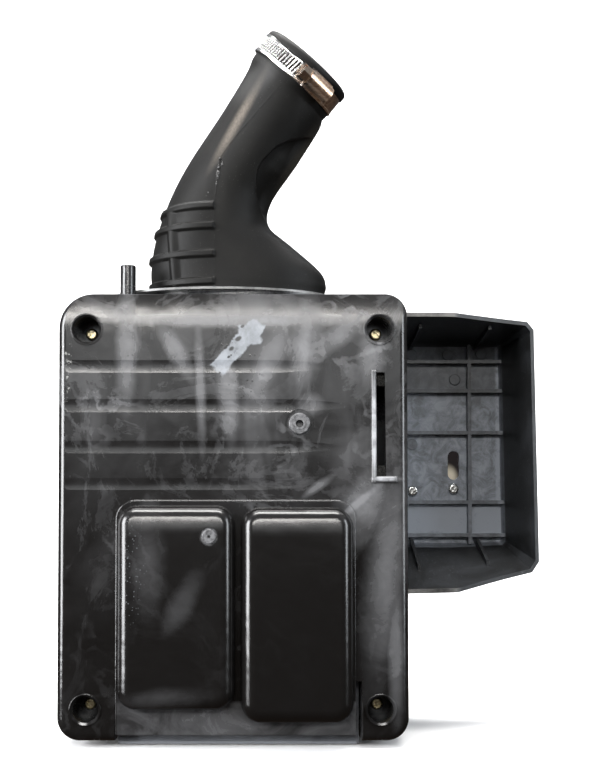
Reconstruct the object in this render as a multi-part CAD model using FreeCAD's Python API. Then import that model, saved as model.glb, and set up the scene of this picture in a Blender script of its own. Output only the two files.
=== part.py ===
"""Air filter housing: a moulded case with a front cover, a panel element, a
rubber intake boot with a worm-drive clamp, a breather pipe and a battery tray.

Millimetres. +Z is up, the cover faces -Y. The origin is the midpoint of the
two rear mounting inserts, on their seating plane (Y = 0)."""
import FreeCAD, Part
import math
import os

os.makedirs("parts", exist_ok=True)
V = FreeCAD.Vector

# ----------------------------------------------------------------- dimensions
WALL = 2.6                     # moulded wall
COVER_X = 105.5                # half width of the cover
COVER_TOP, COVER_BOT = 135.2, -133.8
COVER_FACE = -112.0            # Y of the cover's front face
COVER_BACK = -82.0             # Y of the skirt's free edge
COVER_R_TL, COVER_R = 21.0, 13.5
EDGE_ROLL = 5.0                # radius between face and side walls
CROWN_R = 120.0                # radius of the falling face near the edges
CROWN_START = 112.0            # Z where the face starts to fall away

SCREW_X = 88.2
SCREW_Z_TOP, SCREW_Z_BOT = 113.0, -115.0
WELL_R = 7.75
WELL_FLOOR = -89.5             # Y of the floor the screw head sits on
WELL_BACK = -87.0
SHANK_R = 2.0
SHANK_HOLE_R = 2.05            # pilot in the case boss

SLOT_X0, SLOT_X1 = 86.4, 92.0
SLOT_Z0, SLOT_Z1 = 24.4, 87.0

NOTCH_X0, NOTCH_X1 = -70.5, 76.8
NOTCH_TOP_L, NOTCH_TOP_R = -111.6, -97.8
NOTCH_SPLIT = 12.0

PILLOW_L = (-69.0, 1.6, -114.0, 7.2)       # x0, x1, z0, z1 at the base
PILLOW_R = (4.4, 72.0, -121.5, 6.0)
PILLOW_RISE = 14.0
PILLOW_BACK = -100.6
PILLOW_CROWN_R = 46.0          # fall of the bulges' fronts near the top
PILLOW_CROWN_LEN = 17.0

CASE_X, CASE_TOP, CASE_BOT = 100.5, 130.0, -130.0
CASE_R = 12.0
PARTING = -84.0                # Y of the case's open rim
REAR_WALL = -7.0               # Y of the rear wall's outer face
BOLT_Z = 80.0                  # half of the insert spacing
INSERT_R, INSERT_BORE_R, INSERT_LEN = 4.5, 3.0, 10.0

LEDGE_FRONT, LEDGE_BACK = -61.0, -58.0
FILTER_X0, FILTER_X1 = -76.0, 76.0
FILTER_Z0, FILTER_Z1 = -94.0, 108.0

FOOT_C = (2.5, -46.0)          # centre of the boot's foot
FOOT_A, FOOT_B = 57.5, 30.0    # its half width and half depth
FLANGE_Z0, FLANGE_Z1 = 143.4, 144.8

MOUTH_AXIS = V(0.638, -0.210, 0.741)
MOUTH_AXIS.normalize()
CLAMP_C = V(40.3, -68.0, 283.0)  # middle of the clamp band
BOOT_BORE_R = 25.0
CUFF_R = 30.0
BEAD_R = 31.6
BAND_IN, BAND_OUT, BAND_W = 30.1, 31.0, 12.0

PIPE_X, PIPE_Y, PIPE_TOP, PIPE_R, PIPE_BORE = -67.7, -74.0, 159.7, 4.95, 3.2
STEM_R = 4.6                   # the breather pipe inside the case

TRAY_Y_RIM, TRAY_Y_FLOOR = -77.0, -9.8


# -------------------------------------------------------------------- helpers
def box(x0, x1, y0, y1, z0, z1):
    return Part.makeBox(x1 - x0, y1 - y0, z1 - z0, V(x0, y0, z0))


def cyl(p, axis, r, h):
    return Part.makeCylinder(r, h, V(*p), V(*axis))


def ycyl(x, z, r, y0, y1):
    return Part.makeCylinder(r, y1 - y0, V(x, y0, z), V(0, 1, 0))


def rrect(x0, x1, z0, z1, radii, y):
    """Rounded rectangle in a plane of constant Y; radii TL, TR, BR, BL."""
    tl, tr, br, bl = radii
    k = math.sqrt(0.5)
    e = []

    def seg(a, b):
        if (V(*a) - V(*b)).Length > 1e-6:
            e.append(Part.LineSegment(V(*a), V(*b)).toShape())

    def arc(a, m, b):
        e.append(Part.Arc(V(*a), V(*m), V(*b)).toShape())

    seg((x0 + tl, y, z1), (x1 - tr, y, z1))
    c = (x1 - tr, z1 - tr)
    arc((c[0], y, z1), (c[0] + tr * k, y, c[1] + tr * k), (x1, y, c[1]))
    seg((x1, y, z1 - tr), (x1, y, z0 + br))
    c = (x1 - br, z0 + br)
    arc((x1, y, c[1]), (c[0] + br * k, y, c[1] - br * k), (c[0], y, z0))
    seg((x1 - br, y, z0), (x0 + bl, y, z0))
    c = (x0 + bl, z0 + bl)
    arc((c[0], y, z0), (c[0] - bl * k, y, c[1] - bl * k), (x0, y, c[1]))
    seg((x0, y, z0 + bl), (x0, y, z1 - tl))
    c = (x0 + tl, z1 - tl)
    arc((x0, y, c[1]), (c[0] - tl * k, y, c[1] + tl * k), (c[0], y, z1))
    return Part.Wire(e)


def rprism(x0, x1, y0, y1, z0, z1, radii):
    if not isinstance(radii, (tuple, list)):
        radii = (radii,) * 4
    return Part.Face(rrect(x0, x1, z0, z1, radii, y0)).extrude(V(0, y1 - y0, 0))


def fillet_at(shape, r, test):
    edges = [e for e in shape.Edges if test(e.BoundBox)]
    return shape.makeFillet(r, edges) if edges else shape


def ellipse_prism(cx, cy, a, b, z0, z1):
    w = Part.Wire([Part.Ellipse(V(cx, cy, z0), a, b).toShape()])
    return Part.Face(w).extrude(V(0, 0, z1 - z0))


def union(first, *rest):
    out = first
    for s in rest:
        out = out.fuse(s)
    return out


def save(name, shape):
    if not name.startswith("intake_boot"):
        shape = shape.removeSplitter()
    if shape.ShapeType == "Compound" and len(shape.Solids) == 1:
        shape = shape.Solids[0]
    assert shape.isValid(), name + " is not valid"
    shape.exportStep("parts/%s.step" % name)
    b = shape.BoundBox
    print("%-18s solids %d vol %.0f  x %.1f..%.1f y %.1f..%.1f z %.1f..%.1f" % (
        name, len(shape.Solids), shape.Volume, b.XMin, b.XMax, b.YMin, b.YMax,
        b.ZMin, b.ZMax))


SCREWS = {"tl": (-SCREW_X, SCREW_Z_TOP), "tr": (SCREW_X, SCREW_Z_TOP),
          "bl": (-SCREW_X, SCREW_Z_BOT), "br": (SCREW_X, SCREW_Z_BOT)}


# ---------------------------------------------------------------------- cover
def pillow(dims, grow, y_front, y_back, r, top_fillet):
    """A drafted bulge: larger at its base, its front falling away towards
    the top, with a rolled front edge."""
    x0, x1, z0, z1 = dims
    g = grow
    back = rrect(x0 - g, x1 + g, z0 - g, z1 + g, (r + g,) * 4, COVER_FACE)
    d = 1.4
    front = rrect(x0 - g + d, x1 + g - d, z0 - g + d, z1 + g - d,
                  (r + g - d,) * 4, y_front)
    s = Part.makeLoft([back, front], True, True)
    rr = PILLOW_CROWN_R + (g if g < 0 else 0.0)
    zc = z1 - PILLOW_CROWN_LEN
    fall = box(x0 - 20, x1 + 20, y_front - 2, y_front + 9, zc, z1 + 20)
    fall = fall.cut(cyl((x0 - 25, y_front + rr, zc), (1, 0, 0), rr,
                        x1 - x0 + 50))
    s = s.cut(fall)
    s = fillet_at(s, top_fillet, lambda b: b.YMax < y_front + 6.0
                  and b.YMin < y_front + 5.0
                  and not (b.ZLength < 0.01 and b.XLength > 20
                           and abs(b.ZMin - zc) < 0.01))
    base = rprism(x0 - g, x1 + g, COVER_FACE, y_back, z0 - g, z1 + g, r + g)
    return s.fuse(base)


def make_cover():
    radii = (COVER_R_TL, COVER_R, COVER_R, COVER_R)
    body = rprism(-COVER_X, COVER_X, COVER_FACE, COVER_BACK, COVER_BOT,
                  COVER_TOP, radii)
    body = fillet_at(body, EDGE_ROLL, lambda b: b.YMax < COVER_FACE + 0.01)
    inner = rprism(-COVER_X + WALL, COVER_X - WALL, COVER_FACE + WALL + 1.4,
                   COVER_BACK + 1, COVER_BOT + WALL, COVER_TOP - WALL,
                   [r - WALL for r in radii])
    inner = fillet_at(inner, 3.0, lambda b: b.YMax < COVER_FACE + WALL + 1.41)
    # the face falls away towards the top edge
    crown = box(-120, 120, COVER_FACE - 2, COVER_FACE + 8, CROWN_START, 140)
    crown = crown.cut(cyl((-130, COVER_FACE + CROWN_R, CROWN_START),
                          (1, 0, 0), CROWN_R, 260))
    body = body.cut(crown)
    # soft horizontal waves across the upper face, fading out to the right
    for z, xr, depth in ((90.6, 62, 0.28), (66.9, 70, 0.30), (42.0, 66, 0.28),
                         (19.8, 52, 0.24)):
        rr = 26.0
        y = COVER_FACE - rr + depth
        x0 = -99.0
        body = body.cut(cyl((x0, y, z), (1, 0, 0), rr, xr - 34 - x0))
        body = body.cut(Part.makeCone(rr, rr - depth, 34, V(xr - 34, y, z),
                                      V(1, 0, 0)))
        body = body.cut(Part.makeCone(rr - depth, rr, 3.5, V(x0 - 3.5, y, z),
                                      V(1, 0, 0)))
    # low island that both bulges stand on
    isle = rprism(NOTCH_X0 + 0.1, 73.6, COVER_FACE - 1.2, COVER_FACE + 2.0,
                  -130.0, 10.4, (12.0, 12.0, 1.0, 1.0))
    isle = fillet_at(isle, 1.0, lambda b: b.YMax < COVER_FACE - 1.19)
    body = body.fuse(isle)
    # the notch at the bottom, with its own side walls
    cut_l = box(NOTCH_X0, NOTCH_SPLIT, COVER_FACE - 1, COVER_BACK + 1, -140,
                NOTCH_TOP_L)
    cut_r = box(NOTCH_SPLIT - 1, NOTCH_X1, COVER_FACE - 1, COVER_BACK + 1,
                -140, NOTCH_TOP_R)
    w = WALL
    wall_l = box(NOTCH_X0 - w, NOTCH_SPLIT + w, COVER_FACE, COVER_BACK + 2,
                 -140, NOTCH_TOP_L + w)
    wall_r = box(NOTCH_SPLIT - 1 - w, NOTCH_X1 + w, COVER_FACE,
                 COVER_BACK + 2, -140, NOTCH_TOP_R + w)
    body = body.cut(cut_l).cut(cut_r)
    inner = inner.cut(wall_l).cut(wall_r)
    yf = COVER_FACE - PILLOW_RISE
    body = union(body, pillow(PILLOW_L, 0, yf, PILLOW_BACK, 12.0, 8.0),
                 pillow(PILLOW_R, 0, yf, PILLOW_BACK, 12.0, 8.0))
    cav = pillow(PILLOW_L, -w, yf + w, PILLOW_BACK + 2, 12.0, 5.4)
    cav = cav.fuse(pillow(PILLOW_R, -w, yf + w, PILLOW_BACK + 2, 12.0, 5.4))
    cover = body.cut(inner).cut(cav)
    # the notch's walls stop short of the case's rim
    cover = cover.cut(box(NOTCH_X0 - 3.2, NOTCH_X1 + 3.2, PARTING - 0.5,
                          COVER_BACK + 1, -131.1, -90))
    # gasket ledge just inside the skirt
    led = rprism(-COVER_X + 1, COVER_X - 1, -90.0, -86.5, COVER_BOT + 1,
                 COVER_TOP - 1, [r - 1 for r in radii])
    led = led.cut(rprism(-96.4, 96.4, -91, -85, -126.2, 126.0, 11.0))
    led = led.cut(box(NOTCH_X0 - 1, NOTCH_X1 + 1, -92, -80, -140, -90))
    cover = cover.fuse(led)
    # round holes for the screw wells
    for x, z in SCREWS.values():
        cover = cover.cut(ycyl(x, z, WELL_R + 2.0, COVER_FACE - 5,
                               COVER_BACK + 2))
    # inlet slot with a raised lip on its left and lower sides
    lip = union(box(82.9, SLOT_X0, COVER_FACE - 1.8, COVER_FACE + 4, 20.4,
                    88.4),
                box(82.9, 98.6, COVER_FACE - 1.8, COVER_FACE + 4, 20.4,
                    SLOT_Z0))
    lip = lip.removeSplitter()
    lip = fillet_at(lip, 1.3, lambda b: b.YMax < COVER_FACE - 1.79)
    cover = cover.fuse(lip)
    slot = Part.makePolygon([V(SLOT_X0, -130, SLOT_Z0), V(SLOT_X1, -130, SLOT_Z0),
                             V(SLOT_X1 - 0.7, -130, SLOT_Z1),
                             V(SLOT_X0 - 0.5, -130, SLOT_Z1),
                             V(SLOT_X0, -130, SLOT_Z0)])
    cover = cover.cut(Part.Face(slot).extrude(V(0, 26, 0)))
    # round moulded boss with a hole, and the small gate boss
    x, z = 39.9, 56.0
    disc = ycyl(x, z, 6.4, COVER_FACE - 1.9, COVER_FACE + 5)
    disc = fillet_at(disc, 0.7, lambda b: b.YMax < COVER_FACE - 1.89)
    ring = ycyl(x, z, 8.7, COVER_FACE - 1, COVER_FACE + 0.7).cut(
        ycyl(x, z, 6.4, COVER_FACE - 2, COVER_FACE + 2))
    cover = cover.cut(ring).fuse(disc)
    cover = cover.cut(ycyl(x, z, 2.3, COVER_FACE - 3, COVER_FACE + 2.2))
    rim = ycyl(x, z, 3.6, COVER_FACE - 2.4, COVER_FACE - 1.5).cut(
        ycyl(x, z, 2.3, COVER_FACE - 3, COVER_FACE))
    cover = cover.fuse(rim)
    x, z = -13.9, -11.2
    yp = COVER_FACE - PILLOW_RISE
    ring = ycyl(x, z, 5.6, yp - 1, yp + 0.5).cut(ycyl(x, z, 4.4, yp - 2,
                                                      yp + 2))
    gate = ycyl(x, z, 4.2, yp - 0.8, yp + 1.5)
    gate = fillet_at(gate, 0.5, lambda b: b.YMax < yp - 0.79)
    cover = cover.cut(ring).fuse(gate).cut(ycyl(x, z, 0.9, yp - 2, yp + 0.6))
    # pads that hold the element against its seat
    for px, pz in ((-73.5, -60.0), (-73.5, 70.0), (73.5, -60.0), (73.5, 4.0),
                   (73.5, 100.0), (-73.5, 100.0)):
        cover = cover.fuse(box(px - 1.5, px + 1.5, COVER_FACE + 1.8, -80.4,
                               pz - 7, pz + 7))
    return cover


def make_well(x, z):
    """One screw well: a tube with a floor, and a thin lip in front."""
    well = ycyl(x, z, WELL_R + 2.0, COVER_FACE - 0.5, WELL_BACK)
    well = fillet_at(well, 0.45, lambda b: b.YMax < COVER_FACE - 0.49)
    well = well.cut(ycyl(x, z, WELL_R, COVER_FACE - 5, WELL_FLOOR))
    well = well.cut(ycyl(x, z, 2.35, WELL_FLOOR - 1, WELL_BACK + 1))
    return well.cut(Part.makeCone(WELL_R + 1.3, WELL_R, 1.5,
                                  V(x, COVER_FACE - 0.7, z), V(0, 1, 0)))


def split_cover(cover):
    """The moulding as named regions: plate and skirt, the two bulges in
    front of the island, and the panel that holds the inlet slot."""
    front = box(-80, 85, -140, COVER_FACE - 1.2, -125, 12)
    caps = sorted(cover.common(front).Solids,
                  key=lambda c: c.BoundBox.XMin)
    assert len(caps) == 2, len(caps)
    plate = cover.cut(front)
    window = box(82.9, 98.6, -118, -105, 20.4, 91.0)
    panel = plate.common(window)
    assert len(panel.Solids) == 1, len(panel.Solids)
    return plate.cut(window), caps[0], caps[1], panel


# ------------------------------------------------------------------ rear case
def make_case():
    case = rprism(-CASE_X, CASE_X, PARTING, REAR_WALL, CASE_BOT, CASE_TOP,
                  (17.0, CASE_R, CASE_R, CASE_R))
    case = fillet_at(case, 4.0, lambda b: b.YMin > REAR_WALL - 0.01)
    t = 2.8
    case = case.cut(rprism(-CASE_X + t, CASE_X - t, PARTING - 1,
                           REAR_WALL - t, CASE_BOT + t, CASE_TOP - t,
                           (17.0 - t, CASE_R - t, CASE_R - t, CASE_R - t)))
    # the seat for the element, all round
    ledge = rprism(-CASE_X + 1, CASE_X - 1, LEDGE_FRONT, LEDGE_BACK,
                   CASE_BOT + 1, CASE_TOP - 1, 11.0)
    ledge = ledge.cut(rprism(-68, 68, LEDGE_FRONT - 1, LEDGE_BACK + 1, -86,
                             100, 6.0))
    case = case.fuse(ledge)
    # screw bosses with webs to the side walls
    for x, z in SCREWS.values():
        s = 1 if x > 0 else -1
        case = case.fuse(ycyl(x, z, 6.2, -86.7, LEDGE_FRONT + 1))
        xa, xb = sorted((x + s * 4.0, s * (CASE_X - 1)))
        case = case.fuse(box(xa, xb, PARTING + 0.2, LEDGE_FRONT + 1, z - 1.4,
                             z + 1.4))
    for x, z in SCREWS.values():
        case = case.cut(ycyl(x, z, SHANK_HOLE_R, -88, -66.5))
    # the oval outlet in the top wall
    cx, cy = FOOT_C
    # opens on the clean side of the seat only
    case = case.cut(ellipse_prism(cx, cy, FOOT_A, FOOT_B, CASE_TOP - 6, 160)
                    .cut(box(-80, 90, -90, LEDGE_BACK, 100, 170)))
    # breather boss
    case = case.fuse(cyl((PIPE_X, PIPE_Y, CASE_TOP - 2), (0, 0, 1), 7.0, 5.0))
    case = case.cut(cyl((PIPE_X, PIPE_Y, CASE_TOP - 8), (0, 0, 1), STEM_R,
                        20))
    # chin: the flat apron that fills the cover's notch
    ax0, ax1 = NOTCH_X0 + 0.6, NOTCH_X1 - 0.6
    ya, yb = -100.0, -97.5
    chin = box(ax0, ax1, ya, -76.0, -137.7, CASE_BOT + 2.8)
    chin = chin.cut(box(ax0 + 2.5, ax1 - 2.5, yb, -78.5, -135.2,
                        CASE_BOT + 5))
    chin = union(chin, box(ax0, ax1, ya, yb, -137.7, -112.4),
                 box(NOTCH_SPLIT + 1, ax1, ya, yb, -137.7, -98.4))
    chin = chin.removeSplitter()
    chin = fillet_at(chin, 1.2, lambda b: b.YMax < ya + 0.01
                     and b.ZMax < -137.6)
    case = case.fuse(chin)
    lip = box(ax0 + 1.5, ax1 - 1.5, ya - 0.9, ya + 0.5, -137.4, -135.6)
    case = case.fuse(lip)
    # the wall under the chin stays open to the dirty side
    case = case.cut(box(ax0 + 2.5, ax1 - 2.5, PARTING - 0.01, -78.5, -135.2,
                        CASE_BOT + 2.81))
    # tongue that carries the tray, with two screw bosses behind it
    tongue = box(CASE_X - 6, 160.0, REAR_WALL - 2.8, REAR_WALL, 3.0, 22.0)
    case = case.fuse(tongue)
    for x, z in TRAY_SCREWS:
        case = case.fuse(ycyl(x, z, 5.0, REAR_WALL - 2.8, -1.5))
    for x, z in TRAY_SCREWS:
        case = case.cut(ycyl(x, z, SHANK_HOLE_R, -12, 0))
    case = case.fuse(box(CASE_X - 3, 157.0, REAR_WALL - 0.5, -2.5, 11.5,
                         14.0))
    # rear stiffening ribs
    for z in (-110.0, -40.0, 0.0, 40.0, 110.0):
        case = case.fuse(box(-88, 88, REAR_WALL - 0.5, -3.6, z - 1.1,
                             z + 1.1))
    for x in (-60.0, 60.0):
        case = case.fuse(box(x - 1.1, x + 1.1, REAR_WALL - 0.5, -3.6, -116,
                             116))
    case = case.fuse(box(-1.1, 1.1, REAR_WALL - 0.5, -3.6, -116, 116))
    # mounting bosses
    for z in (-BOLT_Z, BOLT_Z):
        case = case.fuse(ycyl(0, z, 11.0, -14.0, 0.0))
    for z in (-BOLT_Z, BOLT_Z):
        case = case.cut(ycyl(0, z, INSERT_R, -INSERT_LEN, 1.0))
    return case


def make_collar():
    """Outlet collar on the top wall, with its thin oval flange."""
    cx, cy = FOOT_C
    collar = ellipse_prism(cx, cy, FOOT_A + 2.6, FOOT_B + 2.6, CASE_TOP,
                           FLANGE_Z1)
    flange = ellipse_prism(-10.0, cy, 70.0, 37.0, FLANGE_Z0, FLANGE_Z1)
    return collar.fuse(flange).cut(
        ellipse_prism(cx, cy, FOOT_A, FOOT_B, CASE_TOP - 1, 160))


# ----------------------------------------------------------------------- tray
RIM = [(101.2, 129.4), (140.0, 129.2), (191.2, 127.0), (196.6, 121.5),
       (199.4, -33.0), (193.6, -40.4), (142.5, -48.2), (101.2, -49.2)]
FLOOR = [(101.2, 118.3), (150.0, 118.7), (183.0, 118.3), (184.6, 115.6),
         (186.2, -16.6), (183.4, -20.4), (150.0, -21.3), (101.2, -20.9)]
TRAY_SCREWS = [(122.6, 16.3), (150.9, 17.6)]


def inset(poly, t):
    """Move every edge of a convex clockwise outline inwards by t."""
    n = len(poly)
    out = []
    for i in range(n):
        p0, p1, p2 = poly[i - 1], poly[i], poly[(i + 1) % n]

        def line(a, b):
            dx, dz = b[0] - a[0], b[1] - a[1]
            m = math.hypot(dx, dz)
            nx, nz = dz / m, -dx / m          # inward for clockwise
            return (a[0] + nx * t, a[1] + nz * t, dx, dz)

        a = line(p0, p1)
        b = line(p1, p2)
        den = a[2] * b[3] - a[3] * b[2]
        s = ((b[0] - a[0]) * b[3] - (b[1] - a[1]) * b[2]) / den
        out.append((a[0] + a[2] * s, a[1] + a[3] * s))
    return out


def poly_wire(poly, y):
    pts = [V(x, y, z) for x, z in poly]
    return Part.makePolygon(pts + [pts[0]])


def make_tray():
    t = 2.6
    outer = Part.makeLoft([poly_wire(RIM, TRAY_Y_RIM),
                           poly_wire(FLOOR, TRAY_Y_FLOOR)], True, True)
    # the cavity: same taper, one wall in from every side and from the back
    ri, fi = inset(RIM, t), inset(FLOOR, t)
    k = t / (TRAY_Y_FLOOR - TRAY_Y_RIM)
    fi2 = [(f[0] + (r[0] - f[0]) * k, f[1] + (r[1] - f[1]) * k)
           for r, f in zip(ri, fi)]
    ro = [(r[0] + (r[0] - f[0]) * 0.03, r[1] + (r[1] - f[1]) * 0.03)
          for r, f in zip(ri, fi)]
    yo = TRAY_Y_RIM - 0.03 * (TRAY_Y_FLOOR - TRAY_Y_RIM)
    inner = Part.makeLoft([poly_wire(ro, yo),
                           poly_wire(fi2, TRAY_Y_FLOOR - t)], True, True)
    tray = outer.cut(inner)
    # floor ribs, running a little way up the right-hand wall
    yf = TRAY_Y_FLOOR - t
    add = []
    for z in (105.5, 85.2, 56.4, 8.6, -14.1):
        add.append(box(102.0, 188.5, yf - 6.0, yf + 0.5, z - 1.2, z + 1.2))
    add.append(box(160.2, 162.6, yf - 6.0, yf + 0.5, -20.0, 119.0))
    add.append(box(103.0, 105.0, yf - 6.0, yf + 0.5, -20.0, 119.0))
    # depthwise ribs on the upper and lower walls
    for x in (121.0, 166.0):
        add.append(box(x - 1.0, x + 1.0, -62.0, yf + 0.5, 114.5, 130.0))
        add.append(box(x - 1.0, x + 1.0, -52.0, yf + 0.5, -44.0, -16.5))
    ribs = union(*add)
    keep = Part.makeLoft([poly_wire(inset(RIM, 1.2), TRAY_Y_RIM),
                          poly_wire(inset(FLOOR, 1.2), TRAY_Y_FLOOR - 0.5)],
                         True, True)
    # ribs on the sloping walls stand only a little above them
    slim = Part.makeLoft([poly_wire(inset(RIM, t + 2.2), TRAY_Y_RIM - 0.1),
                          poly_wire(inset(FLOOR, t + 2.2), yf - 6.0)],
                         True, True)
    ribs = ribs.common(keep).cut(slim)
    tray = tray.fuse(ribs)
    # ejector marks on the floor
    for x, z in ((122.6, 110.9), (147.6, 110.9), (170.7, 111.6),
                 (152.4, 93.5), (122.6, 48.4), (123.8, -18.0),
                 (152.4, -18.0), (173.6, -18.0)):
        if z < -15:
            z = -17.6
            continue
        disc = ycyl(x, z, 3.9, yf - 1.0, yf + 0.5)
        tray = tray.fuse(fillet_at(disc, 0.6, lambda b: b.YMax < yf - 0.99))
    # the receding part of the rim
    wedge = Part.Face(Part.makePolygon([
        V(140.0, TRAY_Y_RIM - 6, -60), V(200.0, TRAY_Y_RIM - 6, -60),
        V(200.0, TRAY_Y_RIM + 15.0, -60), V(172.0, TRAY_Y_RIM + 8.5, -60),
        V(140.0, TRAY_Y_RIM, -60), V(140.0, TRAY_Y_RIM - 6, -60)])
        ).extrude(V(0, 0, 200))
    tray = tray.cut(wedge)
    # obround slot and the two screw holes
    slot = union(ycyl(151.3, 40.0, 4.0, -20, 0), ycyl(151.3, 28.0, 4.0, -20, 0),
                 box(147.3, 155.3, -20, 0, 28.0, 40.0))
    tray = tray.cut(slot)
    for x, z in TRAY_SCREWS:
        tray = tray.cut(ycyl(x, z, 2.3, -20, 0))
    # shallow dent in the floor
    return tray


def pan_screw(x, z, y_seat, length, thread_from, head_r=3.7, head_h=2.8):
    """Pan head on -Y, cross recess, shank towards +Y with thread rings."""
    head = ycyl(x, z, head_r, y_seat - head_h, y_seat)
    head = fillet_at(head, 1.5, lambda b: b.YMax < y_seat - head_h + 0.01)
    for a in (40.0, 130.0):
        bar = box(-2.2, 2.2, y_seat - head_h - 0.1, y_seat - head_h + 1.6,
                  -0.55, 0.55)
        bar.rotate(V(0, 0, 0), V(0, 1, 0), a)
        bar.translate(V(x, 0, z))
        head = head.cut(bar)
    shank = ycyl(x, z, SHANK_R, y_seat - 0.2, y_seat + length)
    y = y_seat + thread_from
    while y < y_seat + length - 1.2:
        ring = ycyl(x, z, 3.0, y, y + 0.55).cut(ycyl(x, z, 1.65, y - 1,
                                                     y + 2))
        shank = shank.cut(ring)
        y += 1.5
    return head.fuse(shank)


# ----------------------------------------------------------------------- boot
def frame_of(axis):
    """Two unit vectors across an axis: e1 towards +X, e2 towards -Y."""
    a = V(axis)
    a.normalize()
    e2 = V(0, -1, 0) - a * (V(0, -1, 0).dot(a))
    e2.normalize()
    e1 = a.cross(e2)
    if e1.x < 0:
        e1 = e1 * -1
    return a, e1, e2


def section(c, axis, ra, rb, power=2.0):
    """Closed spline section: superellipse of half widths ra, rb."""
    a, e1, e2 = frame_of(axis)
    pts = []
    n = 24
    for i in range(n):
        t = 2 * math.pi * i / n
        ct, st = math.cos(t), math.sin(t)
        k = (abs(ct) ** power + abs(st) ** power) ** (-1.0 / power)
        pts.append(V(*c) + e1 * (ra * k * ct) + e2 * (rb * k * st))
    b = Part.BSplineCurve()
    b.interpolate(pts, PeriodicFlag=True)
    return Part.Wire([b.toShape()])


# centre, direction, half width, half depth, squareness
BOOT = [
    ((2.5, -46.0, 128.0), (0, 0, 1), 57.1, 29.6, 2.0),
    ((2.5, -46.0, 137.0), (0, 0, 1), 57.1, 29.6, 2.0),
    ((2.5, -46.0, 145.6), (0, 0, 1), 57.1, 29.6, 2.0),
    ((2.8, -46.0, 152.0), (0, 0, 1), 57.9, 30.0, 2.0),
    ((0.6, -46.5, 161.0), (0, 0, 1), 56.0, 30.0, 2.1),
    ((-7.6, -48.0, 177.0), (0.0, 0, 1), 45.6, 29.8, 2.1),
    ((-11.8, -50.0, 195.0), (0.12, -0.1, 1), 34.8, 29.8, 2.05),
    ((-2.5, -52.5, 219.4), (0.48, -0.19, 0.85), 29.8, 29.6, 2.0),
    ((15.9, -58.0, 245.6), (0.560, -0.20, 0.80), 29.5, 29.5, 2.0),
    ((31.0, -64.0, 268.2), (0.600, -0.207, 0.770), 29.6, 29.6, 2.0),
]


def smooth_sections(rows, per):
    """Sections between the given ones, by Catmull-Rom on every number."""
    flat = [list(c) + list(ax) + [ra, rb, p] for c, ax, ra, rb, p in rows]
    ext = [flat[0]] + flat + [flat[-1]]
    out = []
    for i in range(1, len(ext) - 2):
        p0, p1, p2, p3 = ext[i - 1:i + 3]
        for k in range(per):
            t = k / per
            out.append([0.5 * (2 * b + (c - a) * t
                               + (2 * a - 5 * b + 4 * c - d) * t * t
                               + (3 * b - a - 3 * c + d) * t ** 3)
                        for a, b, c, d in zip(p0, p1, p2, p3)])
    out.append(flat[-1])
    return [(r[0:3], V(*r[3:6]), r[6], r[7], r[8]) for r in out]


def boot_part(secs, bottom=False, top=False):
    """One length of the boot: ruled lofts through its sections."""
    w = 3.4
    outer = Part.makeLoft([section(*q) for q in secs], True, True)
    ins = []
    for i, (c, ax, ra, rb, p) in enumerate(secs):
        if i == 0 and bottom:
            c = (c[0], c[1], c[2] - 1.0)
        last = top and i == len(secs) - 1
        ins.append(section(c, ax, 25.3 if last else ra - w,
                           25.3 if last else rb - w, p))
    return outer.cut(Part.makeLoft(ins, True, True))


def make_boot():
    """The boot in three lengths: oval foot, bend, and tube with its cuff."""
    tail = CLAMP_C - MOUTH_AXIS * 9.0
    rows = BOOT + [((tail.x, tail.y, tail.z), (MOUTH_AXIS.x, MOUTH_AXIS.y,
                                               MOUTH_AXIS.z), 29.7, 29.7,
                    2.0)]
    secs = smooth_sections(rows, 3)
    foot = boot_part(secs[:13], bottom=True)
    bend = boot_part(secs[12:22])
    tube = boot_part(secs[21:], top=True)
    # cuff and end bead, turned about the mouth's axis
    a, e1, e2 = frame_of(MOUTH_AXIS)
    prof = [(BOOT_BORE_R, -10.0), (CUFF_R, -10.0), (CUFF_R, 8.4),
            (BEAD_R - 0.7, 8.7), (BEAD_R, 9.6), (BEAD_R, 11.3),
            (BEAD_R - 0.9, 12.5), (BEAD_R - 2.6, 13.0),
            (BOOT_BORE_R + 0.8, 13.0), (BOOT_BORE_R, 12.2)]
    pts = [CLAMP_C + e1 * r + a * h for r, h in prof]
    ring = Part.Face(Part.makePolygon(pts + [pts[0]])).revolve(
        CLAMP_C, a, 360)
    return foot, bend, tube.fuse(ring)


# ---------------------------------------------------------------------- clamp
HOUSE_PHI = math.radians(55.5)
WORM_OFF = BAND_OUT + 4.55


BAND_C = CLAMP_C + MOUTH_AXIS * 2.0


def clamp_frame():
    a, e1, e2 = frame_of(MOUTH_AXIS)
    radial = e1 * math.cos(HOUSE_PHI) + e2 * math.sin(HOUSE_PHI)
    tangent = e1 * (-math.sin(HOUSE_PHI)) + e2 * math.cos(HOUSE_PHI)
    return a, e1, e2, radial, tangent


def oriented_box(c, u, v, w, lu, lv, lw):
    """Box centred on c with edges along u, v, w."""
    p = [c + u * (su * lu / 2) + v * (sv * lv / 2) - w * (lw / 2)
         for su, sv in ((-1, -1), (1, -1), (1, 1), (-1, 1))]
    return Part.Face(Part.makePolygon(p + [p[0]])).extrude(w * lw)


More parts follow.
